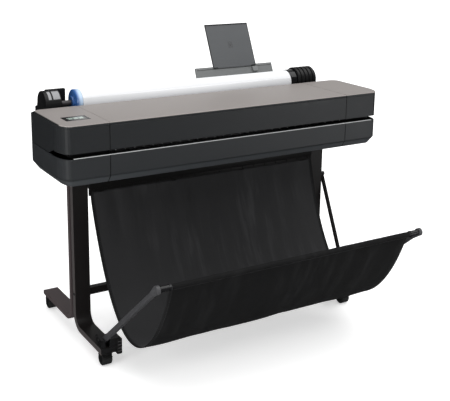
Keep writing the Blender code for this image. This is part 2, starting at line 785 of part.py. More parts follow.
build_shell()
build_top()
build_inside()
build_rear()
build_roll()
build_tray()
build_stand()
build_basket()
build_casters()
lid_axis = (0.0, HINGE_Y, HINGE_Z)
for lid_piece in ("top_cover", "lid_front_panel", "ink_bay_cover"):
    set_origin(parts.objects[lid_piece], lid_axis)
for piece in parts.objects:
    piece.location.y -= FRAME_Y
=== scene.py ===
"""Looks of the large format plotter, built around its CAD frame: finishes, fabric, trim and stage."""

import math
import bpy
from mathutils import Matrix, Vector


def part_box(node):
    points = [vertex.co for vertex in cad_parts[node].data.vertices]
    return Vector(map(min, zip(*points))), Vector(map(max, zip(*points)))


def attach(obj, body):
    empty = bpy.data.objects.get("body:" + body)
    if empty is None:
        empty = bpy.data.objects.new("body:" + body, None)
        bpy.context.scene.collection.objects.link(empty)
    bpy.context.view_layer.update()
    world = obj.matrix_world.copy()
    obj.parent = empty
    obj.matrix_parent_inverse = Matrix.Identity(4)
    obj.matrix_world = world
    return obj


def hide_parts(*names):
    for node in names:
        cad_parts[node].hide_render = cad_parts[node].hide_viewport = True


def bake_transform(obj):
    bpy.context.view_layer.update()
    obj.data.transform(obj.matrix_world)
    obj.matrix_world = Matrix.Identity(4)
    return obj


bl_info = {
    "name": "Large Format Plotter",
    "version": (1, 0, 0),
    "blender": (4, 5, 0),
    "location": "View3D > Sidebar > Plotter",
    "description": "Builds the finishes and fine pieces of a stand-mounted large format plotter",
    "category": "Add Mesh",
}

import bmesh
import bpy
from bpy.props import FloatProperty, FloatVectorProperty, IntProperty, PointerProperty
from mathutils import Matrix, Vector, noise

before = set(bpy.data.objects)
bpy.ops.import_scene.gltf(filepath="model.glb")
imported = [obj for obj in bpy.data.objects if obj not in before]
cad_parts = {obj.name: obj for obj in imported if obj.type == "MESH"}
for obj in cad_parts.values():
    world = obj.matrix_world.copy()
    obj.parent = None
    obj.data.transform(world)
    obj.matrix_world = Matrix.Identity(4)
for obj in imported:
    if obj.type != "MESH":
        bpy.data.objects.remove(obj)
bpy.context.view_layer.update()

# The CAD sets the whole part back by this much from the body's front face at Y = 0.
FRONT = 0.0724


def low(node):
    """Lowest corner of a CAD node."""
    return Vector(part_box(node)[0])


def high(node):
    """Highest corner of a CAD node."""
    return Vector(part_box(node)[1])


def middle(node):
    """Centre of a CAD node's box."""
    return (low(node) + high(node)) / 2


def tone(red, green, blue):
    """Linear colour from display values of 0 to 255."""
    linear = []
    for value in (red, green, blue):
        v = value / 255
        linear.append(v / 12.92 if v <= 0.04045 else ((v + 0.055) / 1.055) ** 2.4)
    return tuple(linear)


# ---------------------------------------------------------------- properties


def length(name, description, default):
    kind = {"subtype": "DISTANCE", "unit": "LENGTH"}
    return FloatProperty(name=name, description=description, default=default, min=0.0, **kind)


def colour(name, description, default):
    kind = {"size": 3, "min": 0.0, "max": 1.0, "subtype": "COLOR"}
    return FloatVectorProperty(name=name, description=description, default=default, **kind)


class PlotterSizes(bpy.types.PropertyGroup):
    """Sizes of the pieces that are added to the frame."""

    cloth: length("Cloth thickness", "Thickness of the basket's woven cloth", 0.0013)
    binding: length("Binding width", "Width of the tape that binds the cloth's side edges", 0.0120)
    front_sleeve: length("Front sleeve radius", "Outside radius of the sewn sleeve on the front bar", 0.0093)
    rear_sleeve: length("Rear sleeve radius", "Outside radius of the sewn sleeve on the rear bar", 0.0080)
    stitch: length("Stitch length", "Length of one stitch in the seams", 0.0040)
    screw: length("Screw head radius", "Radius of the screw heads in the stand", 0.0055)
    exit_ribs: IntProperty(name="Exit ribs", description="Guide ribs inside the exit slot", default=56, min=2)
    rear_vents: IntProperty(name="Rear louvres", description="Louvres in the rear cover", default=14, min=1)


class PlotterColours(bpy.types.PropertyGroup):
    """Base colours of the finishes."""

    shell: colour("Shell", "Charcoal moulded shell", tone(41, 43, 45))
    top: colour("Top", "Taupe satin paint of the top", tone(150, 144, 141))
    black: colour("Black plastic", "Black moulded plastic", tone(24, 24, 25))
    stand: colour("Stand", "Black satin paint of the stand", tone(26, 23, 23))
    foot: colour("Foot", "Warm dark paint of the rear tubes", tone(74, 66, 67))
    fabric: colour("Fabric", "Black woven basket cloth", tone(36, 36, 37))
    light: colour("Light plastic", "Pale grey plastic", tone(186, 188, 188))
    grey: colour("Grey plastic", "Middle grey plastic", tone(118, 120, 120))
    tray: colour("Tray sheet", "Dark grey tray sheet", tone(88, 90, 92))
    blue: colour("Blue hub", "Blue of the loose roll hub", tone(56, 104, 172))
    arm: colour("Arm", "Grey paint of the basket's arms and bar", tone(68, 68, 70))
    paper: colour("Paper", "White plotter paper", tone(232, 233, 235))
    steel: colour("Steel", "Bright steel", tone(176, 177, 180))


# ---------------------------------------------------------------- finishes


class Wire:
    """One output socket in a material, so that sums on it can be written as plain expressions."""

    def __init__(self, finish, socket):
        self.finish = finish
        self.socket = socket

    def sum(self, operation, first, second):
        return self.finish.maths(operation, first, second)

    def __add__(self, other):
        return self.sum("ADD", self, other)

    def __radd__(self, other):
        return self.sum("ADD", other, self)

    def __sub__(self, other):
        return self.sum("SUBTRACT", self, other)

    def __rsub__(self, other):
        return self.sum("SUBTRACT", other, self)

    def __mul__(self, other):
        return self.sum("MULTIPLY", self, other)

    def __rmul__(self, other):
        return self.sum("MULTIPLY", other, self)

    def __truediv__(self, other):
        return self.sum("DIVIDE", self, other)

    def __pow__(self, other):
        return self.sum("POWER", self, other)

    def __gt__(self, other):
        return self.sum("GREATER_THAN", self, other)

    def __lt__(self, other):
        return self.sum("LESS_THAN", self, other)

    def __mod__(self, other):
        return self.sum("FLOORED_MODULO", self, other)

    def __abs__(self):
        return self.finish.maths("ABSOLUTE", self)


class Outputs:
    """The outputs of one node, each given as a Wire."""

    def __init__(self, finish, node):
        self.finish = finish
        self.node = node

    def __getitem__(self, key):
        return Wire(self.finish, self.node.outputs[key])


class Finish:
    """One material with a Principled shader, painted by the position on the part."""

    def __init__(self, name, **constants):
        self.material = bpy.data.materials.new(name)
        self.material.use_nodes = True
        self.tree = self.material.node_tree
        self.shader = self.tree.nodes["Principled BSDF"]
        for key, value in constants.items():
            self.set(key.replace("_", " "), value)
        self.place = self.add("ShaderNodeTexCoord")["Object"]

    def put(self, socket, value):
        if isinstance(value, Wire):
            self.tree.links.new(value.socket, socket)
        elif socket.type == "RGBA" and len(value) == 3:
            socket.default_value = (*value, 1.0)
        else:
            socket.default_value = value

    def add(self, kind, settings=None, sockets=None):
        """Any node: its settings first, then the values or links of its sockets."""
        node = self.tree.nodes.new(kind)
        for key, value in (settings or {}).items():
            setattr(node, key, value)
        for key, value in (sockets or {}).items():
            self.put(node.inputs[key], value)
        return Outputs(self, node)

    def set(self, key, value):
        self.put(self.shader.inputs[key], value)

    def maths(self, operation, *values):
        return self.add("ShaderNodeMath", {"operation": operation}, dict(enumerate(values)))["Value"]

    def axes(self):
        """The X, Y and Z of the position, as three numbers."""
        split = self.add("ShaderNodeSeparateXYZ", None, {"Vector": self.place})
        return split["X"], split["Y"], split["Z"]

    def noise(self, scale, detail=2.0, rough=0.5, stretch=None):
        """Soft noise on the position, which stretch multiplies along each axis first."""
        place = self.place
        if stretch:
            place = self.add("ShaderNodeVectorMath", {"operation": "MULTIPLY"}, {0: place, 1: stretch})["Vector"]
        sockets = {"Vector": place, "Scale": scale, "Detail": detail, "Roughness": rough}
        return self.add("ShaderNodeTexNoise", {"noise_dimensions": "3D"}, sockets)["Fac"]

    def cells(self, scale):
        sockets = {"Vector": self.place, "Scale": scale}
        return self.add("ShaderNodeTexVoronoi", {"feature": "F1"}, sockets)["Distance"]

    def mix(self, factor, first, second):
        return self.add("ShaderNodeMix", {"data_type": "RGBA"}, {0: factor, 6: first, 7: second})[2]

    def vary(self, factor, base, first, second):
        """A tint between two shades of one colour."""
        return self.mix(factor, shade(base, first), shade(base, second))

    def span(self, value, low_in, high_in, low_out=0.0, high_out=1.0):
        """The value carried from one range to another, kept within its ends."""
        sockets = {"Value": value, "From Min": low_in, "From Max": high_in, "To Min": low_out, "To Max": high_out}
        return self.add("ShaderNodeMapRange", {"interpolation_type": "SMOOTHSTEP"}, sockets)["Result"]

    def sine(self, value):
        return self.maths("SINE", value)

    def larger(self, first, second):
        return self.maths("MAXIMUM", first, second)

    def done(self, colour, roughness, height, depth, strength=1.0):
        """The material, once its colour, roughness and bump are set."""
        self.set("Base Color", colour)
        self.set("Roughness", roughness)
        sockets = {"Height": height, "Distance": depth, "Strength": strength}
        self.set("Normal", self.add("ShaderNodeBump", None, sockets)["Normal"])
        return self.material


def shade(base, factor):
    return tuple(min(1.0, part * factor) for part in base)


def plastic(finish, base, rough, scale, spread):
    """Grain, colour and roughness of moulded plastic, with faint flow clouds and rubbed patches."""
    speck = finish.noise(scale, 3.0, 0.6)
    flow = finish.noise(4.0, 3.0, stretch=(1.0, 3.0, 3.0))
    rub = finish.span(finish.noise(17.0, 4.0, 0.65), 0.55, 0.75)
    tint = finish.vary(flow, base, 1 - spread, 1 + spread)
    tint = finish.mix(speck * 0.35, tint, shade(base, 1.35))
    return speck, tint, rough + (speck - 0.5) * 0.16 - rub * 0.06


def moulded(name, base, rough, grain=0.0011, depth=0.00006, spread=0.10):
    """Spark-eroded moulded plastic with fine grain."""
    finish = Finish(name, IOR=1.40)
    speck, tint, roughness = plastic(finish, base, rough, 1.0 / grain, spread)
    return finish.done(tint, roughness, speck, depth)


def shell_finish(name, base, seam, belt, side, keel):
    """Charcoal shell: moulded grain, dark seams at +-seam and round the two ends, and a keel chamfer painted paler as
    painted light from the floor below.
    """
    finish = Finish(name, IOR=1.42)
    x, _, z = finish.axes()
    out = abs(x)
    speck, tint, roughness = plastic(finish, base, 0.42, 900.0, 0.08)
    # Painted light: the keel chamfer is painted 2.4 times paler, as if lit from the floor below.
    tint = finish.mix(finish.span(z, keel - 0.0015, keel + 0.0015, 0.75, 0.0), tint, shade(base, 2.4))
    upright = finish.span(abs(out - seam), 0.0011, 0.0022, 1.0, 0.0)
    round_end = finish.span(abs(z - belt), 0.0008, 0.0018, 0.8, 0.0) * (out > side)
    tint = finish.mix(finish.larger(upright, round_end) * 0.92, tint, shade(base, 0.10))
    return finish.done(tint, roughness, speck, 0.00006)


def satin_paint(name, base, rough, metallic=0.0, flake=0.0, rims=None, skirt=None):
    """Sprayed satin paint: orange peel, faint flake and handling haze.

    Rims are the distances from the middle plane within and beyond which the colour after them shows.
    Skirt is the height below which the edge colour given with it shows.
    """
    finish = Finish(name, IOR=1.42, Metallic=metallic, Coat_Weight=0.08, Coat_Roughness=0.25)
    height = finish.noise(210.0, 2.0, 0.45)
    haze = finish.noise(5.0, 4.0, 0.6)
    spark = finish.cells(1500.0)
    tint = finish.vary(haze, base, 0.95, 1.05)
    tint = finish.mix(spark * flake, tint, shade(base, 1.5))
    if rims:
        inner, outer, colour = rims
        out = abs(finish.axes()[0])
        rim = finish.larger(out > outer, out < inner)
        tint = finish.mix(rim, tint, colour)
        height = height - rim * 0.5
    if skirt:
        level, colour = skirt
        tint = finish.mix(finish.span(finish.axes()[2], level - 0.0004, level + 0.0004, 1.0, 0.0), tint, colour)
    roughness = rough + (haze - 0.5) * 0.10 + (spark - 0.5) * flake * 0.2
    return finish.done(tint, roughness, height, 0.00012, 0.6)


def lip_finish(name, base, dark, front_y):
    """Sheet guide that is pale along its front lip, and painted near black further in as painted shade where it runs
    into the slot.
    """
    finish = Finish(name, IOR=1.45)
    speck = finish.noise(700.0, 3.0)
    # Beyond the front lip the guide is painted near black: painted shade inside the slot.
    deep = finish.span(finish.axes()[1], front_y + 0.0002, front_y + 0.0008)
    tint = finish.mix(deep, finish.mix(speck, shade(base, 0.9), base), dark)
    return finish.done(tint, 0.35 + speck * 0.15 + deep * 0.3, speck, 0.00004, 0.5)


def gloss_black(name, base):
    """Polished black plastic with a few wiping swirls."""
    finish = Finish(name, IOR=1.5)
    wipe = finish.noise(8.0, 4.0, 0.7, (3.0, 20.0, 20.0))
    tint = finish.vary(wipe, base, 0.8, 1.3)
    return finish.done(tint, 0.10 + wipe * 0.14, wipe, 0.00002, 0.4)


def brushed(name, base):
    """Drawn steel with fine lines along its length."""
    finish = Finish(name, Metallic=1.0, IOR=2.0)
    line = finish.noise(14.0, 4.0, 0.65, (2.0, 60.0, 60.0))
    tint = finish.vary(finish.noise(30.0, 3.0), base, 0.85, 1.1)
    return finish.done(tint, 0.30 + (line - 0.5) * 0.25, line, 0.00003, 0.6)


def rubber_finish(name, base):
    """Matt rubber with dusty patches."""
    finish = Finish(name, IOR=1.45)
    dust = finish.noise(70.0, 5.0, 0.7)
    tint = finish.vary(dust * 0.5, base, 0.9, 2.2)
    return finish.done(tint, 0.72 + dust * 0.2, finish.noise(900.0), 0.00008, 0.6)


def woven(name, base, pitch=0.0016, sheen=0.10):
    """Plain-weave nylon: crossing yarns, soft sheen and creases painted paler as painted highlight."""
    finish = Finish(name, IOR=1.30, Sheen_Weight=sheen, Sheen_Roughness=0.45, Sheen_Tint=(0.75, 0.76, 0.80))
    x, y, z = finish.axes()
    turn = 2 * math.pi / pitch
    weft = finish.sine(x * turn)
    warp = finish.sine((y + z) * turn * 0.8)
    yarn = finish.larger(weft * abs(warp), warp * abs(weft)) * 0.5 + 0.5
    slub = finish.noise(22.0, 3.0, 0.6, (1.0, 12.0, 12.0))
    cloud = finish.noise(5.0, 4.0, 0.55)
    # Streaks along the creases are painted paler where they would catch the light: painted highlight.
    crease_highlight = finish.span(finish.noise(2.2, 4.0, 0.6, (13.0, 1.6, 1.6)), 0.46, 0.70)
    patch = finish.span(finish.noise(2.6), 0.36, 0.60)
    tint = finish.vary(cloud, base, 0.82, 1.22)
    tint = finish.mix(crease_highlight * patch * 0.9, tint, shade(base, 2.4))
    tint = finish.mix(yarn * 0.45 + slub * 0.15, tint, shade(base, 1.7))
    roughness = 0.78 + (yarn - 0.5) * 0.16 + (slub - 0.5) * 0.1
    return finish.done(tint, roughness, yarn + slub * 0.4, 0.00018, 0.7)


def paper_finish(name, base, centre, ends):
    """Wound paper: faint fibres on the outside, the edges of the turns at the two ends, and a faint glow of its own
    colour as painted light.
    """
    # The paper glows faintly with its own colour: painted light.
    finish = Finish(name, IOR=1.4, Emission_Strength=0.15)
    x, y, z = finish.axes()
    dy = y - centre.y
    dz = z - centre.z
    turns = finish.sine((dy * dy + dz * dz) ** 0.5 * (2 * math.pi / 0.0011))
    loose = finish.noise(60.0, 3.0)
    end = finish.larger((x > ends[1] - 0.0008), (x < ends[0] + 0.0008))
    fibre = finish.noise(260.0, 4.0, 0.7, (1.0, 4.0, 4.0))
    cloud = finish.noise(6.0, stretch=(0.4, 2.0, 2.0))
    flat = finish.vary(cloud * 0.6 + fibre * 0.3, base, 0.965, 1.01)
    edge = finish.vary(turns * 0.3 + loose * 0.5, base, 0.62, 0.92)
    sheet = finish.mix(end, flat, edge)
    finish.set("Emission Color", sheet)
    return finish.done(sheet, 0.68 + fibre * 0.2, fibre * 0.4 + end * turns, 0.00010, 0.5)


def cardboard_finish(name, base):
    """Spiral-wound grey-brown board."""
    finish = Finish(name, IOR=1.4)
    x, y, z = finish.axes()
    ply = finish.span(finish.sine((x + y * 0.6 + z * 0.6) * 160.0), 0.9, 1.0)
    fibre = finish.noise(180.0, 4.0, 0.7, (1.0, 5.0, 5.0))
    tint = finish.vary(fibre + ply * 0.3, base, 0.75, 1.12)
    return finish.done(tint, 0.82 + fibre * 0.1, fibre - ply, 0.00015, 0.6)


def hub_finish(name, base, split_x):
    """Blue moulded hub whose rim lip is painted pale, as painted light that comes through it."""
    finish = Finish(name, IOR=1.48, Coat_Weight=0.25, Coat_Roughness=0.15)
    speck = finish.noise(700.0)
    flow = finish.noise(28.0, 3.0)
    # Painted light: the rim lip is painted pale where light would come through it.
    lip = finish.span(finish.axes()[0], split_x - 0.0050, split_x + 0.0110)
    face = finish.vary(flow, base, 0.88, 1.12)
    return finish.done(finish.mix(lip, face, tone(200, 224, 250)), 0.30 + speck * 0.12, speck, 0.00004, 0.5)


def screen_finish(name, corner, size):
    """Dark touch screen with a lit window of plain tiles in its middle, and no lettering."""
    finish = Finish(name, IOR=1.5, Coat_Weight=0.5, Coat_Roughness=0.05, Emission_Strength=0.22)
    x, y, _ = finish.axes()
    u = (x - corner.x) / size.x
    v = (y - corner.y) / size.y
    lit = (u > 0.10) * (u < 0.90) * (v > 0.22) * (v < 0.80)
    column = ((u - 0.10) * 3.75) % 1.0
    tile = (column > 0.12) * (column < 0.88) * (v > 0.30) * (v < 0.62)
    glow = finish.noise(60.0, 1.0)
    smear = finish.noise(190.0, 4.0, 0.7)
    face = finish.mix(tile, tone(60, 78, 70), finish.mix(glow, tone(140, 164, 150), tone(206, 214, 210)))
    face = finish.mix(v > 0.68, face, tone(176, 190, 184))
    picture = finish.mix(lit, tone(22, 24, 24), face)
    finish.set("Base Color", finish.mix(smear * 0.15, picture, tone(120, 124, 124)))
    finish.set("Emission Color", finish.mix(lit, (0.0, 0.0, 0.0), face))
    finish.set("Roughness", 0.08 + smear * 0.14)
    return finish.material


FINISHES = {}

# The CAD pieces that wear each finish.
WEARERS = {
    "shell": "lower_left_end_cap lower_right_end_cap lower_front_cover rear_cover",
    # The upper pieces wear a darker copy of the shell paint: painted shade.
    "upper_shell": "upper_left_end_cap upper_right_end_cap lid_front_panel",
    "top": "top_cover left_deck_panel ink_bay_cover",
    "black": "chassis platen left_spindle_support right_spindle_support power_inlet spindle_collar "
    "ink_tank_1 ink_tank_2 ink_tank_3 ink_tank_4 left_arm_bracket right_arm_bracket "
    "front_left_fork front_right_fork rear_left_fork rear_right_fork",
    "gloss": "black_hub display_bezel",
    "rod": "spindle_rod",
    "screen": "display_glass",
    "lip": "exit_plate",
    "steel": "carriage_rail electronics_box",
    "grey": "ink_carriage tray_base tray_guide",
    "tray": "tray_extension",
    "paper": "paper_roll",
    "board": "roll_core",
    "blue": "blue_hub",
    "rubber": "feed_roller front_left_wheel front_right_wheel rear_left_wheel rear_right_wheel",
    # The front tubes wear the stand paint with painted light on their side faces and a painted highlight along the
    # feet's lower edge.
    "front_tube": "left_front_tube right_front_tube",
    "stand": "lower_cross_beam left_post_web right_post_web right_stay_rod",
    "dark": "upper_cross_beam rear_fabric_bar",
    "foot": "left_rear_tube right_rear_tube",
    "arm": "left_arm right_arm front_bar",
}


def make_finishes(colours):
    """Every material of the plotter, made once."""
    roll_ends = low("paper_roll").x, high("paper_roll").x
    glass = low("display_glass")
    glass_size = high("display_glass") - glass
    side = high("ink_bay_cover").x - 0.0050
    seams = (
        low("upper_right_end_cap").x - 0.0003,
        low("upper_left_end_cap").z,
        side + 0.003,
        # The keel chamfer's height, below which the shell is painted paler as painted light.
        low("lower_front_cover").z + 0.0215,
    )
    deck = (high("top_cover").z - 0.0030, colours.shell)
    tube_inner, tube_outer = abs(high("left_rear_tube").x), abs(low("left_rear_tube").x)
    # The side faces of the front tubes are painted paler than their fronts: painted light.
    tubes = (tube_inner + 0.0004, tube_outer - 0.0004, tone(72, 68, 68))
    # A pale strip along the lower edge of the front feet: painted highlight.
    sole_highlight = (0.0530, tone(112, 104, 103))
    lip_y = low("exit_plate").y
    made = (
        ("shell", shell_finish("charcoal_shell", colours.shell, *seams)),
        # A copy of the shell paint made a quarter darker: painted shade.
        ("upper_shell", shell_finish("upper_charcoal_shell_painted_shade", shade(colours.shell, 0.76), *seams)),
        ("top", satin_paint("taupe_top", colours.top, 0.52, 0.10, 0.25, (0.0, side, tone(34, 35, 36)), deck)),
        ("black", moulded("black_plastic", colours.black, 0.42)),
        ("gloss", gloss_black("gloss_black", colours.black)),
        ("stand", satin_paint("stand_paint", colours.stand, 0.42)),
        ("front_tube", satin_paint("front_tube_paint_painted_light", colours.stand, 0.42, rims=tubes, skirt=sole_highlight)),
        ("rod", moulded("rod_plastic", tone(74, 71, 73), 0.30)),
        ("band", moulded("band_plastic", tone(150, 151, 153), 0.24, 0.0020, 0.00008, 0.22)),
        ("foot", satin_paint("foot_paint", colours.foot, 0.42)),
        ("fabric", woven("basket_cloth_weave", colours.fabric)),
        # The cloth's outer face, also worn by the front sleeve, is the fabric's colour at about a quarter: painted
        # shade.
        ("coating", woven("basket_cloth_back_painted_shade", shade(colours.fabric, 0.27), 0.0016, 0.02)),
        # The binding tape is painted dark to match the outer face: painted shade.
        ("tape", woven("binding_tape_painted_shade", shade(colours.fabric, 0.40), 0.0010, 0.02)),
        ("dark", satin_paint("shaded_paint", shade(colours.stand, 0.32), 0.62)),
        ("light", moulded("light_plastic", colours.light, 0.36)),
        ("lip", lip_finish("exit_lip_painted_slot_shade", colours.light, shade(colours.black, 0.5), lip_y)),
        ("grey", moulded("grey_plastic", colours.grey, 0.42)),
        ("tray", moulded("tray_sheet", colours.tray, 0.38)),
        ("arm", satin_paint("arm_paint", colours.arm, 0.36)),
        ("blue", hub_finish("blue_hub", colours.blue, low("blue_hub").x + 0.0130)),
        ("paper", paper_finish("wound_paper_glowing", colours.paper, middle("paper_roll"), roll_ends)),
        ("board", cardboard_finish("core_board", tone(172, 148, 120))),
        ("steel", brushed("drawn_steel", colours.steel)),
        ("rubber", rubber_finish("soft_rubber", tone(24, 25, 25))),
        ("screen", screen_finish("lit_screen", glass, glass_size)),
        ("thread", moulded("seam_thread", tone(52, 52, 54), 0.7, 0.0008)),
    )
    FINISHES.update(made)


# ---------------------------------------------------------------- mesh tools


def bare_object(name, bm):
    """An object in the scene that holds what the bmesh holds."""
    mesh = bpy.data.meshes.new(name)
    bm.to_mesh(mesh)
    bm.free()
    obj = bpy.data.objects.new(name, mesh)
    bpy.context.scene.collection.objects.link(obj)
    return obj


def piece(name, bm, finish, body, smooth=True):
    """An object from a bmesh, given its finish and the body that it rides on."""
    bmesh.ops.recalc_face_normals(bm, faces=bm.faces)
    obj = bare_object(name, bm)
    obj.data.materials.append(FINISHES[finish])
    if smooth:
        obj.data.shade_smooth()
        obj.data.set_sharp_from_angle(angle=math.radians(35))
    if body:
        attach(obj, body)
    return obj


def around(value, half):
    """The limits that lie half on each side of a value."""
    return value - half, value + half


def circle(count):
    """Even points round a circle of radius 1, as pairs."""
    turns = [2 * math.pi * i / count for i in range(count)]
    return [(math.cos(turn), math.sin(turn)) for turn in turns]


def add_box(bm, x, y, z, bevel=0.0, segments=2):
    """A box between limits, with rounded edges."""
    centre = Vector(((x[0] + x[1]) / 2, (y[0] + y[1]) / 2, (z[0] + z[1]) / 2))
    size = (abs(x[1] - x[0]), abs(y[1] - y[0]), abs(z[1] - z[0]), 1.0)
    made = bmesh.ops.create_cube(bm, size=1.0, matrix=Matrix.Translation(centre) @ Matrix.Diagonal(size))
    if bevel:
        edges = list({edge for vert in made["verts"] for edge in vert.link_edges})
        shape = {"offset": bevel, "segments": segments, "profile": 0.5}
        bmesh.ops.bevel(bm, geom=edges, affect="EDGES", clamp_overlap=True, **shape)


def join_rings(bm, rings):
    """Faces from ring to ring, and over the two end rings. A ring of one point is a tip."""
    for first, second in zip(rings, rings[1:]):
        steps = max(len(first), len(second))
        for i in range(steps):
            j = (i + 1) % steps
            if len(first) == 1:
                bm.faces.new((first[0], second[i], second[j]))
            elif len(second) == 1:
                bm.faces.new((first[i], first[j], second[0]))
            else:
                bm.faces.new((first[i], first[j], second[j], second[i]))
    if rings[0] is not rings[-1]:
        for ring in (rings[0], rings[-1]):
            if len(ring) > 1:
                bm.faces.new(ring)


def add_turned(bm, profile, centre, axis, steps):
    """A turned body: profile is (radius, along) from one end to the other, or closed on itself."""
    move = Matrix.Translation(Vector(centre)) @ Vector(axis).to_track_quat("Z", "Y").to_matrix().to_4x4()
    closed = profile[0] == profile[-1] and profile[0][0] > 0
    rings = []
    for radius, along in profile[:-1] if closed else profile:
        spots = circle(steps) if radius > 0 else [(0.0, 0.0)]
        rings.append([bm.verts.new(move @ Vector((radius * a, radius * b, along))) for a, b in spots])
    join_rings(bm, rings + rings[:1] if closed else rings)


def add_ring(bm, inner, outer, start, stop, centre, axis, steps=32, round_by=0.0006):
    """A sleeve with softened rims."""
    r = min(round_by, (outer - inner) / 2.5, (stop - start) / 2.5)
    profile = [
        (inner, start + r),
        (inner + r, start),
        (outer - r, start),
        (outer, start + r),
        (outer, stop - r),
        (outer - r, stop),
        (inner + r, stop),
        (inner, stop - r),
        (inner, start + r),
    ]
    add_turned(bm, profile, centre, axis, steps)


def add_screw(bm, centre, axis, radius, height):
    """A round screw head with a sunk drive."""
    profile = [
        (0.0, 0.0),
        (radius, 0.0),
        (radius, height * 0.55),
        (radius * 0.82, height * 0.95),
        (radius * 0.52, height),
        (radius * 0.46, height * 0.35),
        (0.0, height * 0.30),
    ]
    add_turned(bm, profile, centre, axis, 16)


def add_tube(bm, start, stop, radius, sides):
    """A straight round bar, closed at both ends."""
    start, stop = Vector(start), Vector(stop)
    along = (stop - start).normalized()
    across = along.orthogonal().normalized()
    other = along.cross(across)
    rings = []
    for point in (start, stop):
        rings.append([bm.verts.new(point + (across * a + other * b) * radius) for a, b in circle(sides)])
    join_rings(bm, rings)


def add_prism(bm, outline, lift):
    """A flat outline of points, thickened by the lift vector."""
    lower = [bm.verts.new(Vector(p)) for p in outline]
    upper = [bm.verts.new(Vector(p) + Vector(lift)) for p in outline]
    join_rings(bm, [lower, upper])


class Make:
    """Shared by the operators: undo support, and the one call that builds their pieces."""

    bl_options = {"REGISTER", "UNDO"}

    def execute(self, context):
        self.build(context.scene)
        return {"FINISHED"}


# ---------------------------------------------------------------- body


class PLOTTER_OT_finishes(Make, bpy.types.Operator):
    """Make every finish and put them on the CAD pieces"""

    bl_idname = "plotter.finishes"
    bl_label = "Finishes"

    def build(self, scene):
        make_finishes(scene.plotter_colours)
        for finish, names in WEARERS.items():
            for name in names.split():
                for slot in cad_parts[name].material_slots:
                    slot.material = FINISHES[finish]


class PLOTTER_OT_exit_slot(Make, bpy.types.Operator):
    """Guide ribs and star wheels inside the exit slot"""

    bl_idname = "plotter.exit_slot"
    bl_label = "Exit slot"

    STAR = ((0.0, -0.0016), (0.0042, -0.0012), (0.0045, 0.0), (0.0042, 0.0012), (0.0, 0.0016))

    def build(self, scene):
        count = scene.plotter_sizes.exit_ribs
        floor, front = high("exit_plate").z, low("exit_plate").y
        y, z = front + 0.0240, low("lid_front_panel").z - 0.0052
        half = high("lid_front_panel").x - 0.012
        ribs, wheels = bmesh.new(), bmesh.new()
        for i in range(count):
            x = -half + 2 * half * i / (count - 1)
            deep = (front + 0.010, front + 0.0300)
            add_box(ribs, around(x, 0.0010), deep, (floor + 0.0001, floor + 0.0020), 0.0004, 1)
            if i % 2:
                add_turned(wheels, self.STAR, (x, y, z), (1, 0, 0), 12)
        add_tube(wheels, (-half, y, z), (half, y, z), 0.0014, 8)
        piece("exit_ribs", ribs, "black", "frame")
        piece("exit_star_wheels", wheels, "grey", "lid")


class PLOTTER_OT_inside(Make, bpy.types.Operator):
    """Belt, strip, platen ribs and tank faces under the lid"""

    bl_idname = "plotter.inside"
    bl_label = "Inside"

    INKS = ((20, 20, 22), (38, 150, 200), (190, 48, 120), (226, 196, 44))

    def build(self, scene):
        start, end = low("carriage_rail"), high("carriage_rail")
        y = start.y - 0.004
        belt = bmesh.new()
        for z in (start.z + 0.006, start.z + 0.020):
            add_box(belt, (start.x + 0.02, end.x - 0.02), around(y, 0.0030), around(z, 0.0007), 0.0003, 1)
        for x in (start.x + 0.02, end.x - 0.02):
            add_ring(belt, 0.002, 0.0076, -0.004, 0.004, (x, y, start.z + 0.013), (0, 1, 0), 24)
        piece("carriage_belt", belt, "rubber", "frame")
        strip = bmesh.new()
        add_box(strip, (start.x + 0.01, end.x - 0.01), around(y, 0.0004), (end.z + 0.002, end.z + 0.010))
        piece("encoder_strip", strip, "light", "frame")

        start, end = low("platen"), high("platen")
        ribs = bmesh.new()
        for i in range(48):
            x = start.x + 0.02 + (end.x - start.x - 0.04) * i / 47
            add_box(ribs, around(x, 0.0012), (start.y + 0.02, end.y - 0.01), (end.z, end.z + 0.0015), 0.0004, 1)
        piece("platen_ribs", ribs, "black", "frame")

        start, top = low("ink_carriage"), high("ink_carriage").z
        ribs = bmesh.new()
        for i in range(6):
            x = start.x + 0.018 + 0.0145 * i
            add_box(ribs, (x, x + 0.008), (start.y + 0.02, start.y + 0.085), (top - 0.001, top + 0.0012), 0.0005, 1)
        piece("carriage_ribs", ribs, "black", "carriage")

        for i, ink in enumerate(self.INKS, 1):
            start, end = low(f"ink_tank_{i}"), high(f"ink_tank_{i}")
            name = f"ink_face_{i}"
            FINISHES[name] = moulded(name, tone(*ink), 0.35)
            face = bmesh.new()
            x = (start.x + 0.003, end.x - 0.003)
            add_box(face, x, (start.y + 0.006, start.y + 0.05), (end.z, end.z + 0.0012), 0.0005)
            piece(name, face, name, "frame")


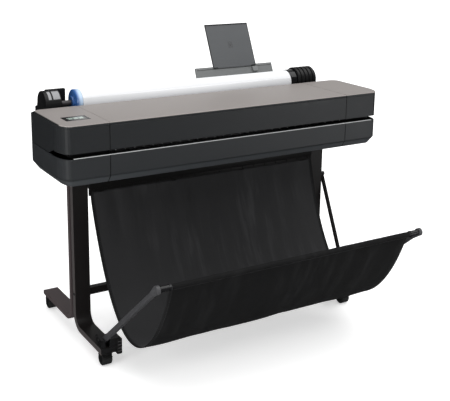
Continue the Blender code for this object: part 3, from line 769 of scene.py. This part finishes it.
class PLOTTER_OT_rear(Make, bpy.types.Operator):
    """Louvres, sockets, screws and the seam bead of the rear cover"""

    bl_idname = "plotter.rear"
    bl_label = "Rear cover"

    # Each socket's X, width and height, and the height above the floor that they share.
    SOCKETS = ((-0.420, 0.016, 0.014), (-0.392, 0.013, 0.007), (-0.368, 0.013, 0.012))
    SOCKET_Z = 0.738
    RIM = 0.0016

    def build(self, scene):
        left, right = low("rear_cover").x, high("rear_cover").x
        back = high("rear_cover").y
        louvres = bmesh.new()
        for i in range(scene.plotter_sizes.rear_vents):
            x = 0.12 + 0.0200 * i
            outline = [(x, back, 0.722), (x + 0.011, back, 0.722), (x + 0.011, back, 0.790), (x, back, 0.790)]
            add_prism(louvres, outline, (0.0, 0.0012, 0.0))
        piece("rear_louvres", louvres, "black", "frame", smooth=False)

        bead = bmesh.new()
        for z in (0.7080, 0.8300):
            deep = (back - 0.0006, back + 0.0008)
            add_box(bead, (left + 0.004, right - 0.004), deep, around(z, 0.0008), 0.0004, 1)
        for x in (left + 0.030, 0.0, right - 0.030):
            for z in (0.7140, 0.8230):
                add_screw(bead, (x, back, z), (0, 1, 0), 0.0040, 0.0014)
        piece("rear_bead_and_screws", bead, "black", "frame")

        rims = bmesh.new()
        for x, width, height in self.SOCKETS:
            for side in (-1, 1):
                z = self.SOCKET_Z + side * (height + self.RIM) / 2
                wide, tall = around(x, width / 2 + self.RIM), around(z, self.RIM / 2)
                add_box(rims, wide, (back, back + 0.0030), tall)
                wide = around(x + side * (width + self.RIM) / 2, self.RIM / 2)
                add_box(rims, wide, (back, back + 0.0030), around(self.SOCKET_Z, height / 2))
        piece("rear_sockets", rims, "steel", "frame", smooth=False)

        pins = bmesh.new()
        inlet, face = middle("power_inlet"), high("power_inlet").y
        for dx, dz in ((-0.007, -0.002), (0.007, -0.002), (0.0, 0.004)):
            x, z = around(inlet.x + dx, 0.001), around(inlet.z + dz, 0.002)
            add_box(pins, x, (face - 0.0060, face - 0.0012), z, 0.0003, 1)
        piece("inlet_pins", pins, "steel", "frame")


class PLOTTER_OT_roll(Make, bpy.types.Operator):
    """Hub ribs and fins, support bands and the loose end of the paper"""

    bl_idname = "plotter.roll"
    bl_label = "Roll and hubs"

    def blades(self, bm, count, root, tip, half, lift):
        """Flat blades round the roll's axis; root and tip are each an X and a radius."""
        axis = middle("paper_roll")
        for a, b in circle(count):
            across, side = Vector((0, a, b)), Vector((0, -b, a)) * half
            start = Vector((root[0], axis.y, axis.z)) + across * root[1]
            stop = Vector((tip[0], axis.y, axis.z)) + across * tip[1]
            add_prism(bm, [start - side, start + side, stop + side, stop - side], (lift, 0, 0))

    def build(self, scene):
        axis = middle("paper_roll")
        face = low("blue_hub").x
        ribs = bmesh.new()
        self.blades(ribs, 8, (face + 0.0040, 0.0225), (face + 0.0080, 0.0440), 0.0012, 0.0040)
        add_ring(ribs, 0.0102, 0.0150, 0.0, 0.004, (face + 0.0005, axis.y, axis.z), (1, 0, 0))
        piece("blue_hub_ribs", ribs, "blue", "hub")
        fins = bmesh.new()
        x = high("black_hub").x - 0.0110
        self.blades(fins, 12, (x, 0.0290), (x, 0.0450), 0.0010, -0.0035)
        piece("black_hub_fins", fins, "black", "roll")

        left = low("left_spindle_support").x
        bands = bmesh.new()
        for x0, x1 in ((left + 0.0120, left + 0.0225), (left + 0.0290, left + 0.0545)):
            rows = []
            for i in range(13):
                angle = math.radians(108 + 45 * i / 12)
                across = Vector((0, math.cos(angle), math.sin(angle)))
                seat = Vector((x0, axis.y, axis.z + 0.0040)) + across * 0.0482
                rows.append((seat, seat + across * 0.0008))
            for first, second in zip(rows, rows[1:]):
                add_prism(bands, (first[0], first[1], second[1], second[0]), (x1 - x0, 0, 0))
        bmesh.ops.remove_doubles(bands, verts=bands.verts, dist=1e-6)
        piece("support_bands", bands, "band", "frame")

        start, end = low("paper_roll"), high("paper_roll")
        tail = bmesh.new()
        rows = []
        for i in range(15):
            angle = math.radians(150 + 60 * i / 14)
            lift = (end.z - start.z) / 2 + 0.0003 + 0.0004 * (1 - i / 14)
            y = axis.y + lift * math.cos(angle)
            z = axis.z + lift * math.sin(angle)
            rows.append([tail.verts.new((x, y, z)) for x in (start.x + 0.0005, end.x - 0.0005)])
        for first, second in zip(rows, rows[1:]):
            tail.faces.new((first[0], first[1], second[1], second[0]))
        turn = piece("paper_outer_turn", tail, "paper", "roll")
        turn.modifiers.new("sheet", "SOLIDIFY").thickness = 0.0002


class PLOTTER_OT_tray(Make, bpy.types.Operator):
    """Edge trim, sheet pictogram, hinge pins and size ticks of the sheet tray"""

    bl_idname = "plotter.tray"
    bl_label = "Sheet tray"

    LEAN = math.radians(25.0)
    HINGE = (0.4280 - FRONT, 0.8800)
    PIN = ((0.0, -0.010), (0.0022, -0.010), (0.0026, -0.0094), (0.0026, 0.0094), (0.0022, 0.010), (0.0, 0.010))
    # The sheet's foot and head, up its front face from the hinge line.
    FOOT, HEAD = 0.0440, 0.2290
    ICON_X, ICON_S = 0.263, 0.139

    def point(self, x, s, out):
        """A point on the leaning tray: s up its front face from the hinge line, out towards the front."""
        y = self.HINGE[0] + s * math.sin(self.LEAN) - out * math.cos(self.LEAN)
        z = self.HINGE[1] + s * math.cos(self.LEAN) + out * math.sin(self.LEAN)
        return Vector((x, y, z))

    def plate(self, bm, outline, out, depth):
        """A flat shape of (x, s) points that stands out from the tray's face."""
        lift = self.point(0, 0, out + depth) - self.point(0, 0, out)
        add_prism(bm, [self.point(x, s, out) for x, s in outline], lift)

    def strip(self, bm, x, s, out, depth):
        self.plate(bm, [(x[0], s[0]), (x[1], s[0]), (x[1], s[1]), (x[0], s[1])], out, depth)

    def build(self, scene):
        x0, x1 = low("tray_extension").x, high("tray_extension").x
        sides = (self.FOOT + 0.004, self.HEAD - 0.0058)
        trim = bmesh.new()
        self.strip(trim, (x0 + 0.0002, x1 - 0.0002), (sides[1], self.HEAD - 0.0002), 0.0050, 0.0006)
        self.strip(trim, (x0 + 0.0002, x0 + 0.0032), sides, 0.0050, 0.0006)
        self.strip(trim, (x1 - 0.0028, x1 - 0.0002), sides, 0.0050, 0.0004)
        piece("tray_sheet_trim", trim, "black", "tray_sheet", smooth=False)

        icon = bmesh.new()
        x, s, wide, tall, line, fold = self.ICON_X, self.ICON_S, 0.0085, 0.0120, 0.0012, 0.004
        left, right, foot, head = x - wide, x + wide, s - tall, s + tall
        for across, up in (
            ((left, left + line), (foot, head)),
            ((right - line, right), (foot, head - fold)),
            ((left, right), (foot, foot + line)),
            ((left, right - fold), (head - line, head)),
            (around(x, 0.0014), (s - 0.001, s + 0.0060)),
        ):
            self.strip(icon, across, up, 0.0051, 0.0005)
        inset = fold + 0.0005
        cut = [(right - fold, head), (right, head - fold), (right - line, head - inset), (right - inset, head - line)]
        self.plate(icon, cut, 0.0051, 0.0005)
        self.plate(icon, [(x, s - 0.0065), (x + 0.0042, s - 0.001), (x - 0.0042, s - 0.001)], 0.0051, 0.0005)
        piece("tray_pictogram", icon, "rod", "tray_sheet", smooth=False)

        pins = bmesh.new()
        for x in (x0 + 0.012, x1 - 0.012):
            add_turned(pins, self.PIN, self.point(x, 0.0460, 0.0032), (1, 0, 0), 16)
        piece("tray_hinge_pins", pins, "black", "tray_sheet")

        ticks = bmesh.new()
        x0, x1 = low("tray_base").x, high("tray_base").x
        for i in range(15):
            tall = 0.006 if i % 5 else 0.010
            self.strip(ticks, around(x0 + 0.020 + 0.0234 * i, 0.0005), (0.0060, 0.0060 + tall), 0.0001, 0.0003)
        self.strip(ticks, (x0 + 0.006, x1 - 0.006), (0.0410, 0.0425), 0.0001, 0.0004)
        piece("tray_base_ticks", ticks, "black", "frame", smooth=False)


# ---------------------------------------------------------------- stand


class PLOTTER_OT_stand(Make, bpy.types.Operator):
    """Foot plugs, post flanges, screws and bracket ribs of the stand"""

    bl_idname = "plotter.stand"
    bl_label = "Stand fittings"

    PLUG_TOP = 0.0710
    RAIL_HALF = 0.4870

    def build(self, scene):
        screw = scene.plotter_sizes.screw
        for side, word in ((-1, "left"), (1, "right")):
            start, end = low(word + "_front_tube"), high(word + "_front_tube")
            x, z = (start.x + 0.0010, end.x - 0.0010), (start.z + 0.0010, self.PLUG_TOP)
            rear, rear_z = high(word + "_rear_tube").y, low(word + "_rear_tube").z + 0.0010
            plugs = bmesh.new()
            add_box(plugs, x, (start.y - 0.0022, start.y + 0.001), z, 0.0010)
            add_box(plugs, x, (rear - 0.001, rear + 0.0022), (rear_z, self.PLUG_TOP), 0.0010)
            piece(word + "_foot_plugs", plugs, "black", "frame")

            screws = bmesh.new()
            outside = start.x if side < 0 else end.x
            for z in (0.1835, 0.6000, 0.6280):
                add_screw(screws, (outside, end.y - 0.0125, z), (side, 0, 0), screw, 0.0024)
            for y in (start.y + 0.055, start.y + 0.105):
                add_screw(screws, ((start.x + end.x) / 2, y, 0.0720), (0, 0, 1), screw, 0.0022)
            piece(word + "_stand_screws", screws, "black", "frame")

            start, end = low(word + "_arm_bracket"), high(word + "_arm_bracket")
            inner = end.x if side < 0 else start.x
            wall = sorted((inner, inner - side * 0.0020))
            ribs = bmesh.new()
            for i in range(4):
                add_box(ribs, wall, around(start.y + 0.009 + 0.014 * i, 0.0012), (0.0430, 0.0930), 0.0005, 1)
            for z in (0.0430, 0.0680, 0.0930):
                add_box(ribs, wall, (start.y + 0.004, end.y - 0.004), around(z, 0.0012), 0.0005, 1)
            face = sorted((side * 0.4720, side * 0.4860))
            for z in (0.0520, 0.0640, 0.0760, 0.0880):
                add_box(ribs, face, (start.y - 0.0018, start.y + 0.001), around(z, 0.0012), 0.0005, 1)
            piece(word + "_bracket_ribs", ribs, "rod", "frame")

        flange = bmesh.new()
        for side in (-1, 1):
            x = sorted((side * 0.4780, side * 0.4886))
            add_box(flange, x, (0.2370 - FRONT, 0.2600 - FRONT), (0.5800, 0.6500), 0.0010)
            add_box(flange, x, (0.2385 - FRONT, 0.2600 - FRONT), (0.1600, 0.2070), 0.0010)
        piece("beam_flanges", flange, "dark", "frame")

        rail = bmesh.new()
        wide = around(0.0, self.RAIL_HALF)
        add_box(rail, wide, (0.2030 - FRONT, 0.2090 - FRONT), (0.5490, 0.5790), 0.0012)
        add_box(rail, wide, (0.2000 - FRONT, 0.2032 - FRONT), (0.5735, 0.6000), 0.0010)
        for i in range(19):
            x = around(-0.4680 + 0.0520 * i, 0.0012)
            add_box(rail, x, (0.2008 - FRONT, 0.2034 - FRONT), (0.5640, 0.5740), 0.0005, 1)
        piece("hanging_rail", rail, "dark", "frame")


class PLOTTER_OT_casters(Make, bpy.types.Operator):
    """Hub caps, tread grooves and swivel rims of the casters"""

    bl_idname = "plotter.casters"
    bl_label = "Casters"

    def build(self, scene):
        for corner in ("front_left", "front_right", "rear_left", "rear_right"):
            wheel, fork = corner + "_wheel", corner + "_fork"
            hub = middle(wheel)
            caps = bmesh.new()
            for side, face in ((-1, low(wheel).x), (1, high(wheel).x)):
                add_ring(caps, 0.0060, 0.0150, -0.0002, 0.0006, (face, hub.y, hub.z), (side, 0, 0), 24, 0.0003)
                tread = (hub.x + side * 0.0080, hub.y, hub.z)
                add_ring(caps, 0.0216, 0.0229, -0.0050, 0.0050, tread, (1, 0, 0))
            piece(wheel + "_treads", caps, "rubber", corner + "_roller")

            x, top = middle(fork).x, high(fork).z
            rim = bmesh.new()
            add_ring(rim, 0.0150, 0.0226, -0.0022, -0.0004, (x, low(fork).y + 0.0220, top), (0, 0, 1))
            for i in range(9):
                angle = math.radians(25 + 130 * i / 8)
                y, z = hub.y + 0.0238 * math.cos(angle), hub.z + 0.0238 * math.sin(angle)
                if z < top - 0.0025:
                    add_box(rim, around(x, 0.0180), around(y, 0.0030), (z - 0.0004, z + 0.0006), 0.0003, 1)
            piece(corner + "_swivel_rim", rim, "black", corner + "_swivel")


# ---------------------------------------------------------------- basket


CLOTH_LINE = (
    (0.1988, 0.5600),
    (0.1945, 0.5350),
    (0.1765, 0.4700),
    (0.1480, 0.3800),
    (0.1125, 0.2950),
    (0.0640, 0.2150),
    (0.0080, 0.1600),
    (-0.0550, 0.1290),
    (-0.1150, 0.1200),
    (-0.1700, 0.1360),
    (-0.2350, 0.1790),
    (-0.2880, 0.2330),
    (-0.3310, 0.3000),
    (-0.3560, 0.3480),
    (-0.3760, 0.3900),
    (-0.3862, 0.4240),
)
CLOTH_HALF = 0.4760
CLOTH_FEEL = {
    "quality": 6,
    "mass": 0.15,
    "tension_stiffness": 60.0,
    "compression_stiffness": 60.0,
    "shear_stiffness": 12.0,
    "bending_stiffness": 1.5,
    "air_damping": 4.0,
    "shrink_min": -0.004,
}
HANG_FRAMES = 24
HANG_LIMIT = 0.020


def even_line(points, count):
    """The rounded line through the points, cut into equal steps."""
    fine = []
    ends = [points[0]] + list(points) + [points[-1]]
    for a, b, c, d in zip(ends, ends[1:], ends[2:], ends[3:]):
        for k in range(12):
            t = k / 12
            spot = []
            for p, q, r, s in zip(a, b, c, d):
                square, cube = (2 * p - 5 * q + 4 * r - s) * t * t, (3 * q - p - 3 * r + s) * t**3
                spot.append(0.5 * (2 * q + (r - p) * t + square + cube))
            fine.append(tuple(spot))
    fine.append(points[-1])
    steps = [0.0]
    for a, b in zip(fine, fine[1:]):
        steps.append(steps[-1] + math.dist(a, b))
    total = steps[-1]
    found = []
    j = 0
    for i in range(count + 1):
        want = total * i / count
        while j < len(steps) - 2 and steps[j + 1] < want:
            j += 1
        share = (want - steps[j]) / max(steps[j + 1] - steps[j], 1e-9)
        found.append(tuple(fine[j][n] + (fine[j + 1][n] - fine[j][n]) * min(share, 1.0) for n in (0, 1)))
    return found, total


def hang(obj):
    """Lets the cloth hang from its two pinned hems, and keeps the shape."""
    cloth = obj.modifiers.new("hang", "CLOTH")
    for key, value in CLOTH_FEEL.items():
        setattr(cloth.settings, key, value)
    cloth.settings.vertex_group_mass = "hems"
    cloth.collision_settings.use_collision = False
    cloth.point_cache.frame_end = HANG_FRAMES
    for step in range(1, HANG_FRAMES + 1):
        bpy.context.scene.frame_set(step)
    graph = bpy.context.evaluated_depsgraph_get()
    settled = [vert.co.copy() for vert in obj.evaluated_get(graph).data.vertices]
    obj.modifiers.remove(cloth)
    bpy.context.scene.frame_set(1)
    for vert, place in zip(obj.data.vertices, settled):
        offset = place - vert.co
        if offset.length > HANG_LIMIT:
            offset = offset.normalized() * HANG_LIMIT
        vert.co = vert.co + offset


class PLOTTER_OT_basket_cloth(Make, bpy.types.Operator):
    """The hanging sling of woven cloth with bound edges and seams"""

    bl_idname = "plotter.basket_cloth"
    bl_label = "Basket cloth"

    ROWS = 72
    # How far the gathers, the broad waves, the small ripples and the curled edges stand out of the sling.
    GATHER, WAVE, RIPPLE, CURL = 0.0060, 0.0050, 0.0030, 0.004
    # The cloth rides on the frame behind this point, and more and more on the basket's arms in front of it.
    BEND = (0.0, -0.0600 - FRONT, 0.1150)

    def columns(self, binding):
        inner = CLOTH_HALF - binding
        return [-CLOTH_HALF] + [-inner + 2 * inner * i / 60 for i in range(61)] + [CLOTH_HALF]

    def grid(self, line, columns):
        """Rows of points down the sling, with gathers under the rear hem and a soft belly."""
        rows = []
        count = len(line) - 1
        for j, (y, z) in enumerate(line):
            share = j / count
            free = math.sin(math.pi * min(max(share, 0.0), 1.0))
            gather = math.exp(-((share - 0.06) / 0.13) ** 2) * min(1.0, share / 0.02)
            spread = 1 + 0.015 * (1 - share) - 0.006 * free
            before, after = line[max(j - 1, 0)], line[min(j + 1, count)]
            along = Vector((0, after[0] - before[0], after[1] - before[1])).normalized()
            normal = Vector((1, 0, 0)).cross(along)
            row = []
            for x in columns:
                fold = math.sin(x * 62.0 + 2.1 * noise.noise(Vector((x * 5, 0.3, 1.7))))
                fold *= 0.5 + 0.5 * noise.noise(Vector((x * 4.0, 2.0, 0.0)))
                wave = noise.noise(Vector((x * 3.4, share * 3.0, 4.0)))
                ripple = noise.noise(Vector((x * 11.0, share * 2.2, 9.0)))
                edge = max(0.0, 1 - (CLOTH_HALF - abs(x)) / 0.10) ** 2
                lift = self.GATHER * gather * fold
                lift = lift + (self.WAVE * wave + self.RIPPLE * ripple) * free - self.CURL * edge * free
                row.append(Vector((x * spread, y - FRONT, z)) + normal * lift)
            rows.append(row)
        return rows

    def sheet_object(self, name, rows, finish):
        bm = bmesh.new()
        made = [[bm.verts.new(point) for point in row] for row in rows]
        for first, second in zip(made, made[1:]):
            for i in range(len(first) - 1):
                bm.faces.new((first[i], first[i + 1], second[i + 1], second[i]))
        obj = bare_object(name, bm)
        obj.data.materials.append(FINISHES[finish])
        obj.data.shade_smooth()
        return obj

    def thicken(self, obj, thickness, back=None):
        """Gives an open sheet its thickness in the mesh itself, and its back a finish of its own."""
        solid = obj.modifiers.new("thickness", "SOLIDIFY")
        solid.thickness = thickness
        solid.offset = 0.0
        if back:
            obj.data.materials.append(FINISHES[back])
            solid.material_offset = 1
        graph = bpy.context.evaluated_depsgraph_get()
        mesh = bpy.data.meshes.new_from_object(obj.evaluated_get(graph))
        obj.modifiers.clear()
        obj.data = mesh
        mesh.shade_smooth()
        mesh.set_sharp_from_angle(angle=math.radians(50))

    def span(self, obj):
        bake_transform(obj)

    def build(self, scene):
        sizes = scene.plotter_sizes
        line, length_m = even_line(CLOTH_LINE, self.ROWS)
        columns = self.columns(sizes.binding)
        # The sling's outer face wears the painted shade; its other face gets the fabric.
        cloth = self.sheet_object("basket_cloth", self.grid(line, columns), "coating")
        wide = len(columns)
        hems = cloth.vertex_groups.new(name="hems")
        last = self.ROWS * wide
        hems.add(list(range(wide)) + list(range(last, last + wide)), 1.0, "REPLACE")
        hang(cloth)
        places = [vert.co.copy() for vert in cloth.data.vertices]
        rows = [places[j * wide : (j + 1) * wide] for j in range(self.ROWS + 1)]

        self.thicken(cloth, sizes.cloth, "fabric")
        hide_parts("basket_fabric")
        self.span(cloth)

        stitches = bmesh.new()
        for word, outer, inner in (("left", 0, 1), ("right", -1, -2)):
            a, b = sorted((outer, inner))
            strip = [(row[a], (row[a] + row[b]) / 2, row[b]) for row in rows]
            tape = self.sheet_object(word + "_edge_tape", strip, "tape")
            self.thicken(tape, sizes.cloth + 0.0006)
            self.span(tape)
            for first, second in zip(rows, rows[1:]):
                along = (second[inner] - first[inner]).normalized()
                for k in (0.25, 0.75):
                    a = first[inner].lerp(second[inner], k)
                    b = first[outer].lerp(second[outer], k)
                    seat = a.lerp(b, 0.22)
                    normal = along.cross(b - a).normalized() * (sizes.cloth / 2 + 0.0007)
                    reach = along * sizes.stitch / 2
                    for lift in (normal, -normal):
                        add_tube(stitches, seat + lift - reach, seat + lift + reach, 0.0004, 5)
        self.span(piece("edge_stitches", stitches, "thread", None))


class PLOTTER_OT_basket_frame(Make, bpy.types.Operator):
    """Sewn sleeves on the two bars, end sockets, caps and their stitching"""

    bl_idname = "plotter.basket_frame"
    bl_label = "Basket frame"

    REAR_BAR = (0.2060 - FRONT, 0.5560)
    PIVOT = Vector((0.0, 0.0050 - FRONT, 0.0920))
    # The arms' outer and inner faces, out from the middle plane.
    ARM_OUT, ARM_IN = 0.5287, 0.5163
    # The rear sleeve is cut away where the bar is held.
    REAR_SLEEVES = ((-0.4765, -0.4515), (-0.4285, -0.1615), (-0.1385, 0.1385), (0.1615, 0.4285), (0.4515, 0.4765))

    def sleeve(self, bm, x0, x1, centre, radius, seed):
        """A sewn tunnel round a bar, a little uneven along its length."""
        steps = max(2, int((x1 - x0) / 0.012))
        rings = []
        for i in range(steps + 1):
            x = x0 + (x1 - x0) * i / steps
            ring = []
            for a, b in circle(16):
                r = radius * (1 + 0.07 * noise.noise(Vector((x * 30.0 + seed, a * 0.8, b * 0.8))))
                ring.append(bm.verts.new((x, centre[0] + r * a, centre[1] + r * b)))
            rings.append(ring)
        join_rings(bm, rings)

    def build(self, scene):
        sizes = scene.plotter_sizes
        bar = middle("front_bar")
        front = bmesh.new()
        self.sleeve(front, -0.4740, 0.4740, (bar.y, bar.z), sizes.front_sleeve, 3.0)
        # The front sleeve wears the outer cloth's painted shade.
        piece("front_sleeve", front, "coating", "basket_frame")
        rear = bmesh.new()
        for x0, x1 in self.REAR_SLEEVES:
            self.sleeve(rear, x0, x1, self.REAR_BAR, sizes.rear_sleeve, 8.0)
        piece("rear_sleeve", rear, "fabric", "frame")

        thread = bmesh.new()
        x = -0.4660
        while x < 0.4640:
            for y in (bar.y + 0.0052, bar.y - 0.0052):
                add_tube(thread, (x, y, bar.z - 0.0087), (x + sizes.stitch, y, bar.z - 0.0087), 0.0004, 5)
            x += sizes.stitch * 1.6
        piece("front_hem_stitches", thread, "thread", "basket_frame")

        sockets, ribs = bmesh.new(), bmesh.new()
        end = Vector((0.0, bar.y, bar.z))
        along = (end - self.PIVOT).normalized()
        cross = Vector((1, 0, 0)).cross(along)
        half = cross * 0.0013
        for side in (-1, 1):
            for x, radius, long in ((0.4800, 0.0100, 0.0340), (0.4775, 0.0112, 0.0060)):
                add_ring(sockets, 0.0079, radius, 0.0, long, (side * x, bar.y, bar.z), (side, 0, 0), 28)
            for offset in (-0.0052, 0.0052):
                start = self.PIVOT + along * 0.018 + cross * offset * 0.75
                stop = end - along * 0.030 + cross * offset * 1.15
                for x, lift in ((self.ARM_OUT, 0.0016), (self.ARM_IN, -0.0016)):
                    corners = [start - half, start + half, stop + half, stop - half]
                    add_prism(ribs, [(side * x, p.y, p.z) for p in corners], (side * lift, 0, 0))
            for spot, radius in ((self.PIVOT, 0.0078), (end, 0.0118)):
                face = (side * self.ARM_OUT, spot.y, spot.z)
                add_ring(ribs, radius * 0.72, radius, 0.0, 0.0014, face, (side, 0, 0), 28, 0.0004)
        piece("bar_sockets", sockets, "gloss", "basket_frame")
        piece("arm_ribs", ribs, "arm", "basket_frame")


# ---------------------------------------------------------------- stage


class PLOTTER_OT_stage(Make, bpy.types.Operator):
    """Pale floor, soft studio light and the camera"""

    bl_idname = "plotter.stage"
    bl_label = "Stage"

    EYE = (-1.6191, -2.5597 - FRONT, 1.5026)
    YAW, PITCH, ROLL = math.radians(30.344), math.radians(13.4683), math.radians(0.5731)
    LENS = 69.953
    SHIFT = (0.03777, -0.15667)
    SUN_AHEAD = (-0.22, 0.18, -1.0)
    # Each lamp's place, what it faces, its width and height, and its power in watts.
    LAMPS = (
        ("rear_light", (3.0, 4.2, 2.7), (0.3, 0.2, 0.85), (3.8, 1.8), 14.0),
        ("front_light", (1.6, -4.0, 2.4), (0.0, 0.0, 0.7), (2.6, 2.0), 7.0),
        ("corner_light", (-3.1, -1.1, 1.1), (-0.6, 0.0, 0.75), (0.3, 1.8), 26.0),
        ("low_light", (2.4, -2.6, 0.30), (0.4, 0.0, 0.60), (1.6, 0.5), 9.0),
    )

    def lamp(self, data, ahead):
        """A lamp in the scene that shines along a direction."""
        lamp = bpy.data.objects.new(data.name, data)
        bpy.context.scene.collection.objects.link(lamp)
        lamp.rotation_euler = ahead.to_track_quat("-Z", "Y").to_euler()
        return lamp

    def soft_light(self, name, place, target, size, power):
        data = bpy.data.lights.new(name, "AREA")
        data.shape = "RECTANGLE"
        data.size, data.size_y = size
        data.energy = power
        self.lamp(data, Vector(target) - Vector(place)).location = place

    def floor(self):
        bm = bmesh.new()
        bmesh.ops.create_circle(bm, cap_ends=True, segments=96, radius=26.0)
        obj = bare_object("floor", bm)
        finish = Finish("pale_floor", Specular_IOR_Level=0.15, Emission_Strength=0.44)
        finish.set("Emission Color", (1.0, 1.0, 1.0))
        cloud = finish.noise(1.3, 3.0)
        finish.set("Base Color", finish.mix(cloud, (0.90, 0.90, 0.90), (0.92, 0.92, 0.92)))
        finish.set("Roughness", 0.75 + cloud * 0.1)
        obj.data.materials.append(finish.material)
        obj.visible_glossy = False

    def camera(self):
        data = bpy.data.cameras.new("camera")
        data.sensor_width = 36.0
        data.lens = self.LENS
        data.shift_x, data.shift_y = self.SHIFT
        data.clip_end = 100.0
        eye = bpy.data.objects.new("camera", data)
        bpy.context.scene.collection.objects.link(eye)
        level = math.cos(self.PITCH)
        ahead = Vector((math.sin(self.YAW) * level, math.cos(self.YAW) * level, -math.sin(self.PITCH)))
        turn = ahead.to_track_quat("-Z", "Y").to_matrix() @ Matrix.Rotation(self.ROLL, 3, "Z")
        eye.matrix_world = Matrix.Translation(self.EYE) @ turn.to_4x4()
        bpy.context.scene.camera = eye

    def build(self, scene):
        self.floor()
        self.camera()
        scene.view_settings.view_transform = "Standard"
        world = bpy.data.worlds.new("studio")
        scene.world = world
        world.use_nodes = True
        background = world.node_tree.nodes["Background"]
        background.inputs["Color"].default_value = (1.0, 1.0, 1.0, 1.0)
        background.inputs["Strength"].default_value = 0.58
        world.cycles_visibility.glossy = False
        sun = bpy.data.lights.new("sky_light", "SUN")
        sun.energy = 1.9
        sun.angle = math.radians(75)
        self.lamp(sun, Vector(self.SUN_AHEAD))
        for lamp in self.LAMPS:
            self.soft_light(*lamp)


class PLOTTER_PT_panel(bpy.types.Panel):
    """The plotter's pieces, sizes and colours"""

    bl_idname = "PLOTTER_PT_panel"
    bl_label = "Large Format Plotter"
    bl_space_type = "VIEW_3D"
    bl_region_type = "UI"
    bl_category = "Plotter"

    def draw(self, context):
        for made in OPERATORS:
            self.layout.operator(made.bl_idname)
        for group in (context.scene.plotter_sizes, context.scene.plotter_colours):
            box = self.layout.box()
            for key in group.bl_rna.properties.keys():
                if key not in ("rna_type", "name"):
                    box.prop(group, key)


OPERATORS = (
    PLOTTER_OT_finishes,
    PLOTTER_OT_exit_slot,
    PLOTTER_OT_inside,
    PLOTTER_OT_rear,
    PLOTTER_OT_roll,
    PLOTTER_OT_tray,
    PLOTTER_OT_stand,
    PLOTTER_OT_casters,
    PLOTTER_OT_basket_cloth,
    PLOTTER_OT_basket_frame,
    PLOTTER_OT_stage,
)
CLASSES = (PlotterSizes, PlotterColours, *OPERATORS, PLOTTER_PT_panel)


def register():
    for made in CLASSES:
        bpy.utils.register_class(made)
    bpy.types.Scene.plotter_sizes = PointerProperty(type=PlotterSizes)
    bpy.types.Scene.plotter_colours = PointerProperty(type=PlotterColours)


def unregister():
    del bpy.types.Scene.plotter_colours
    del bpy.types.Scene.plotter_sizes
    for made in reversed(CLASSES):
        bpy.utils.unregister_class(made)


def main():
    register()
    for made in OPERATORS:
        group, call = made.bl_idname.split(".")
        getattr(getattr(bpy.ops, group), call)()


if __name__ == "__main__":
    main()
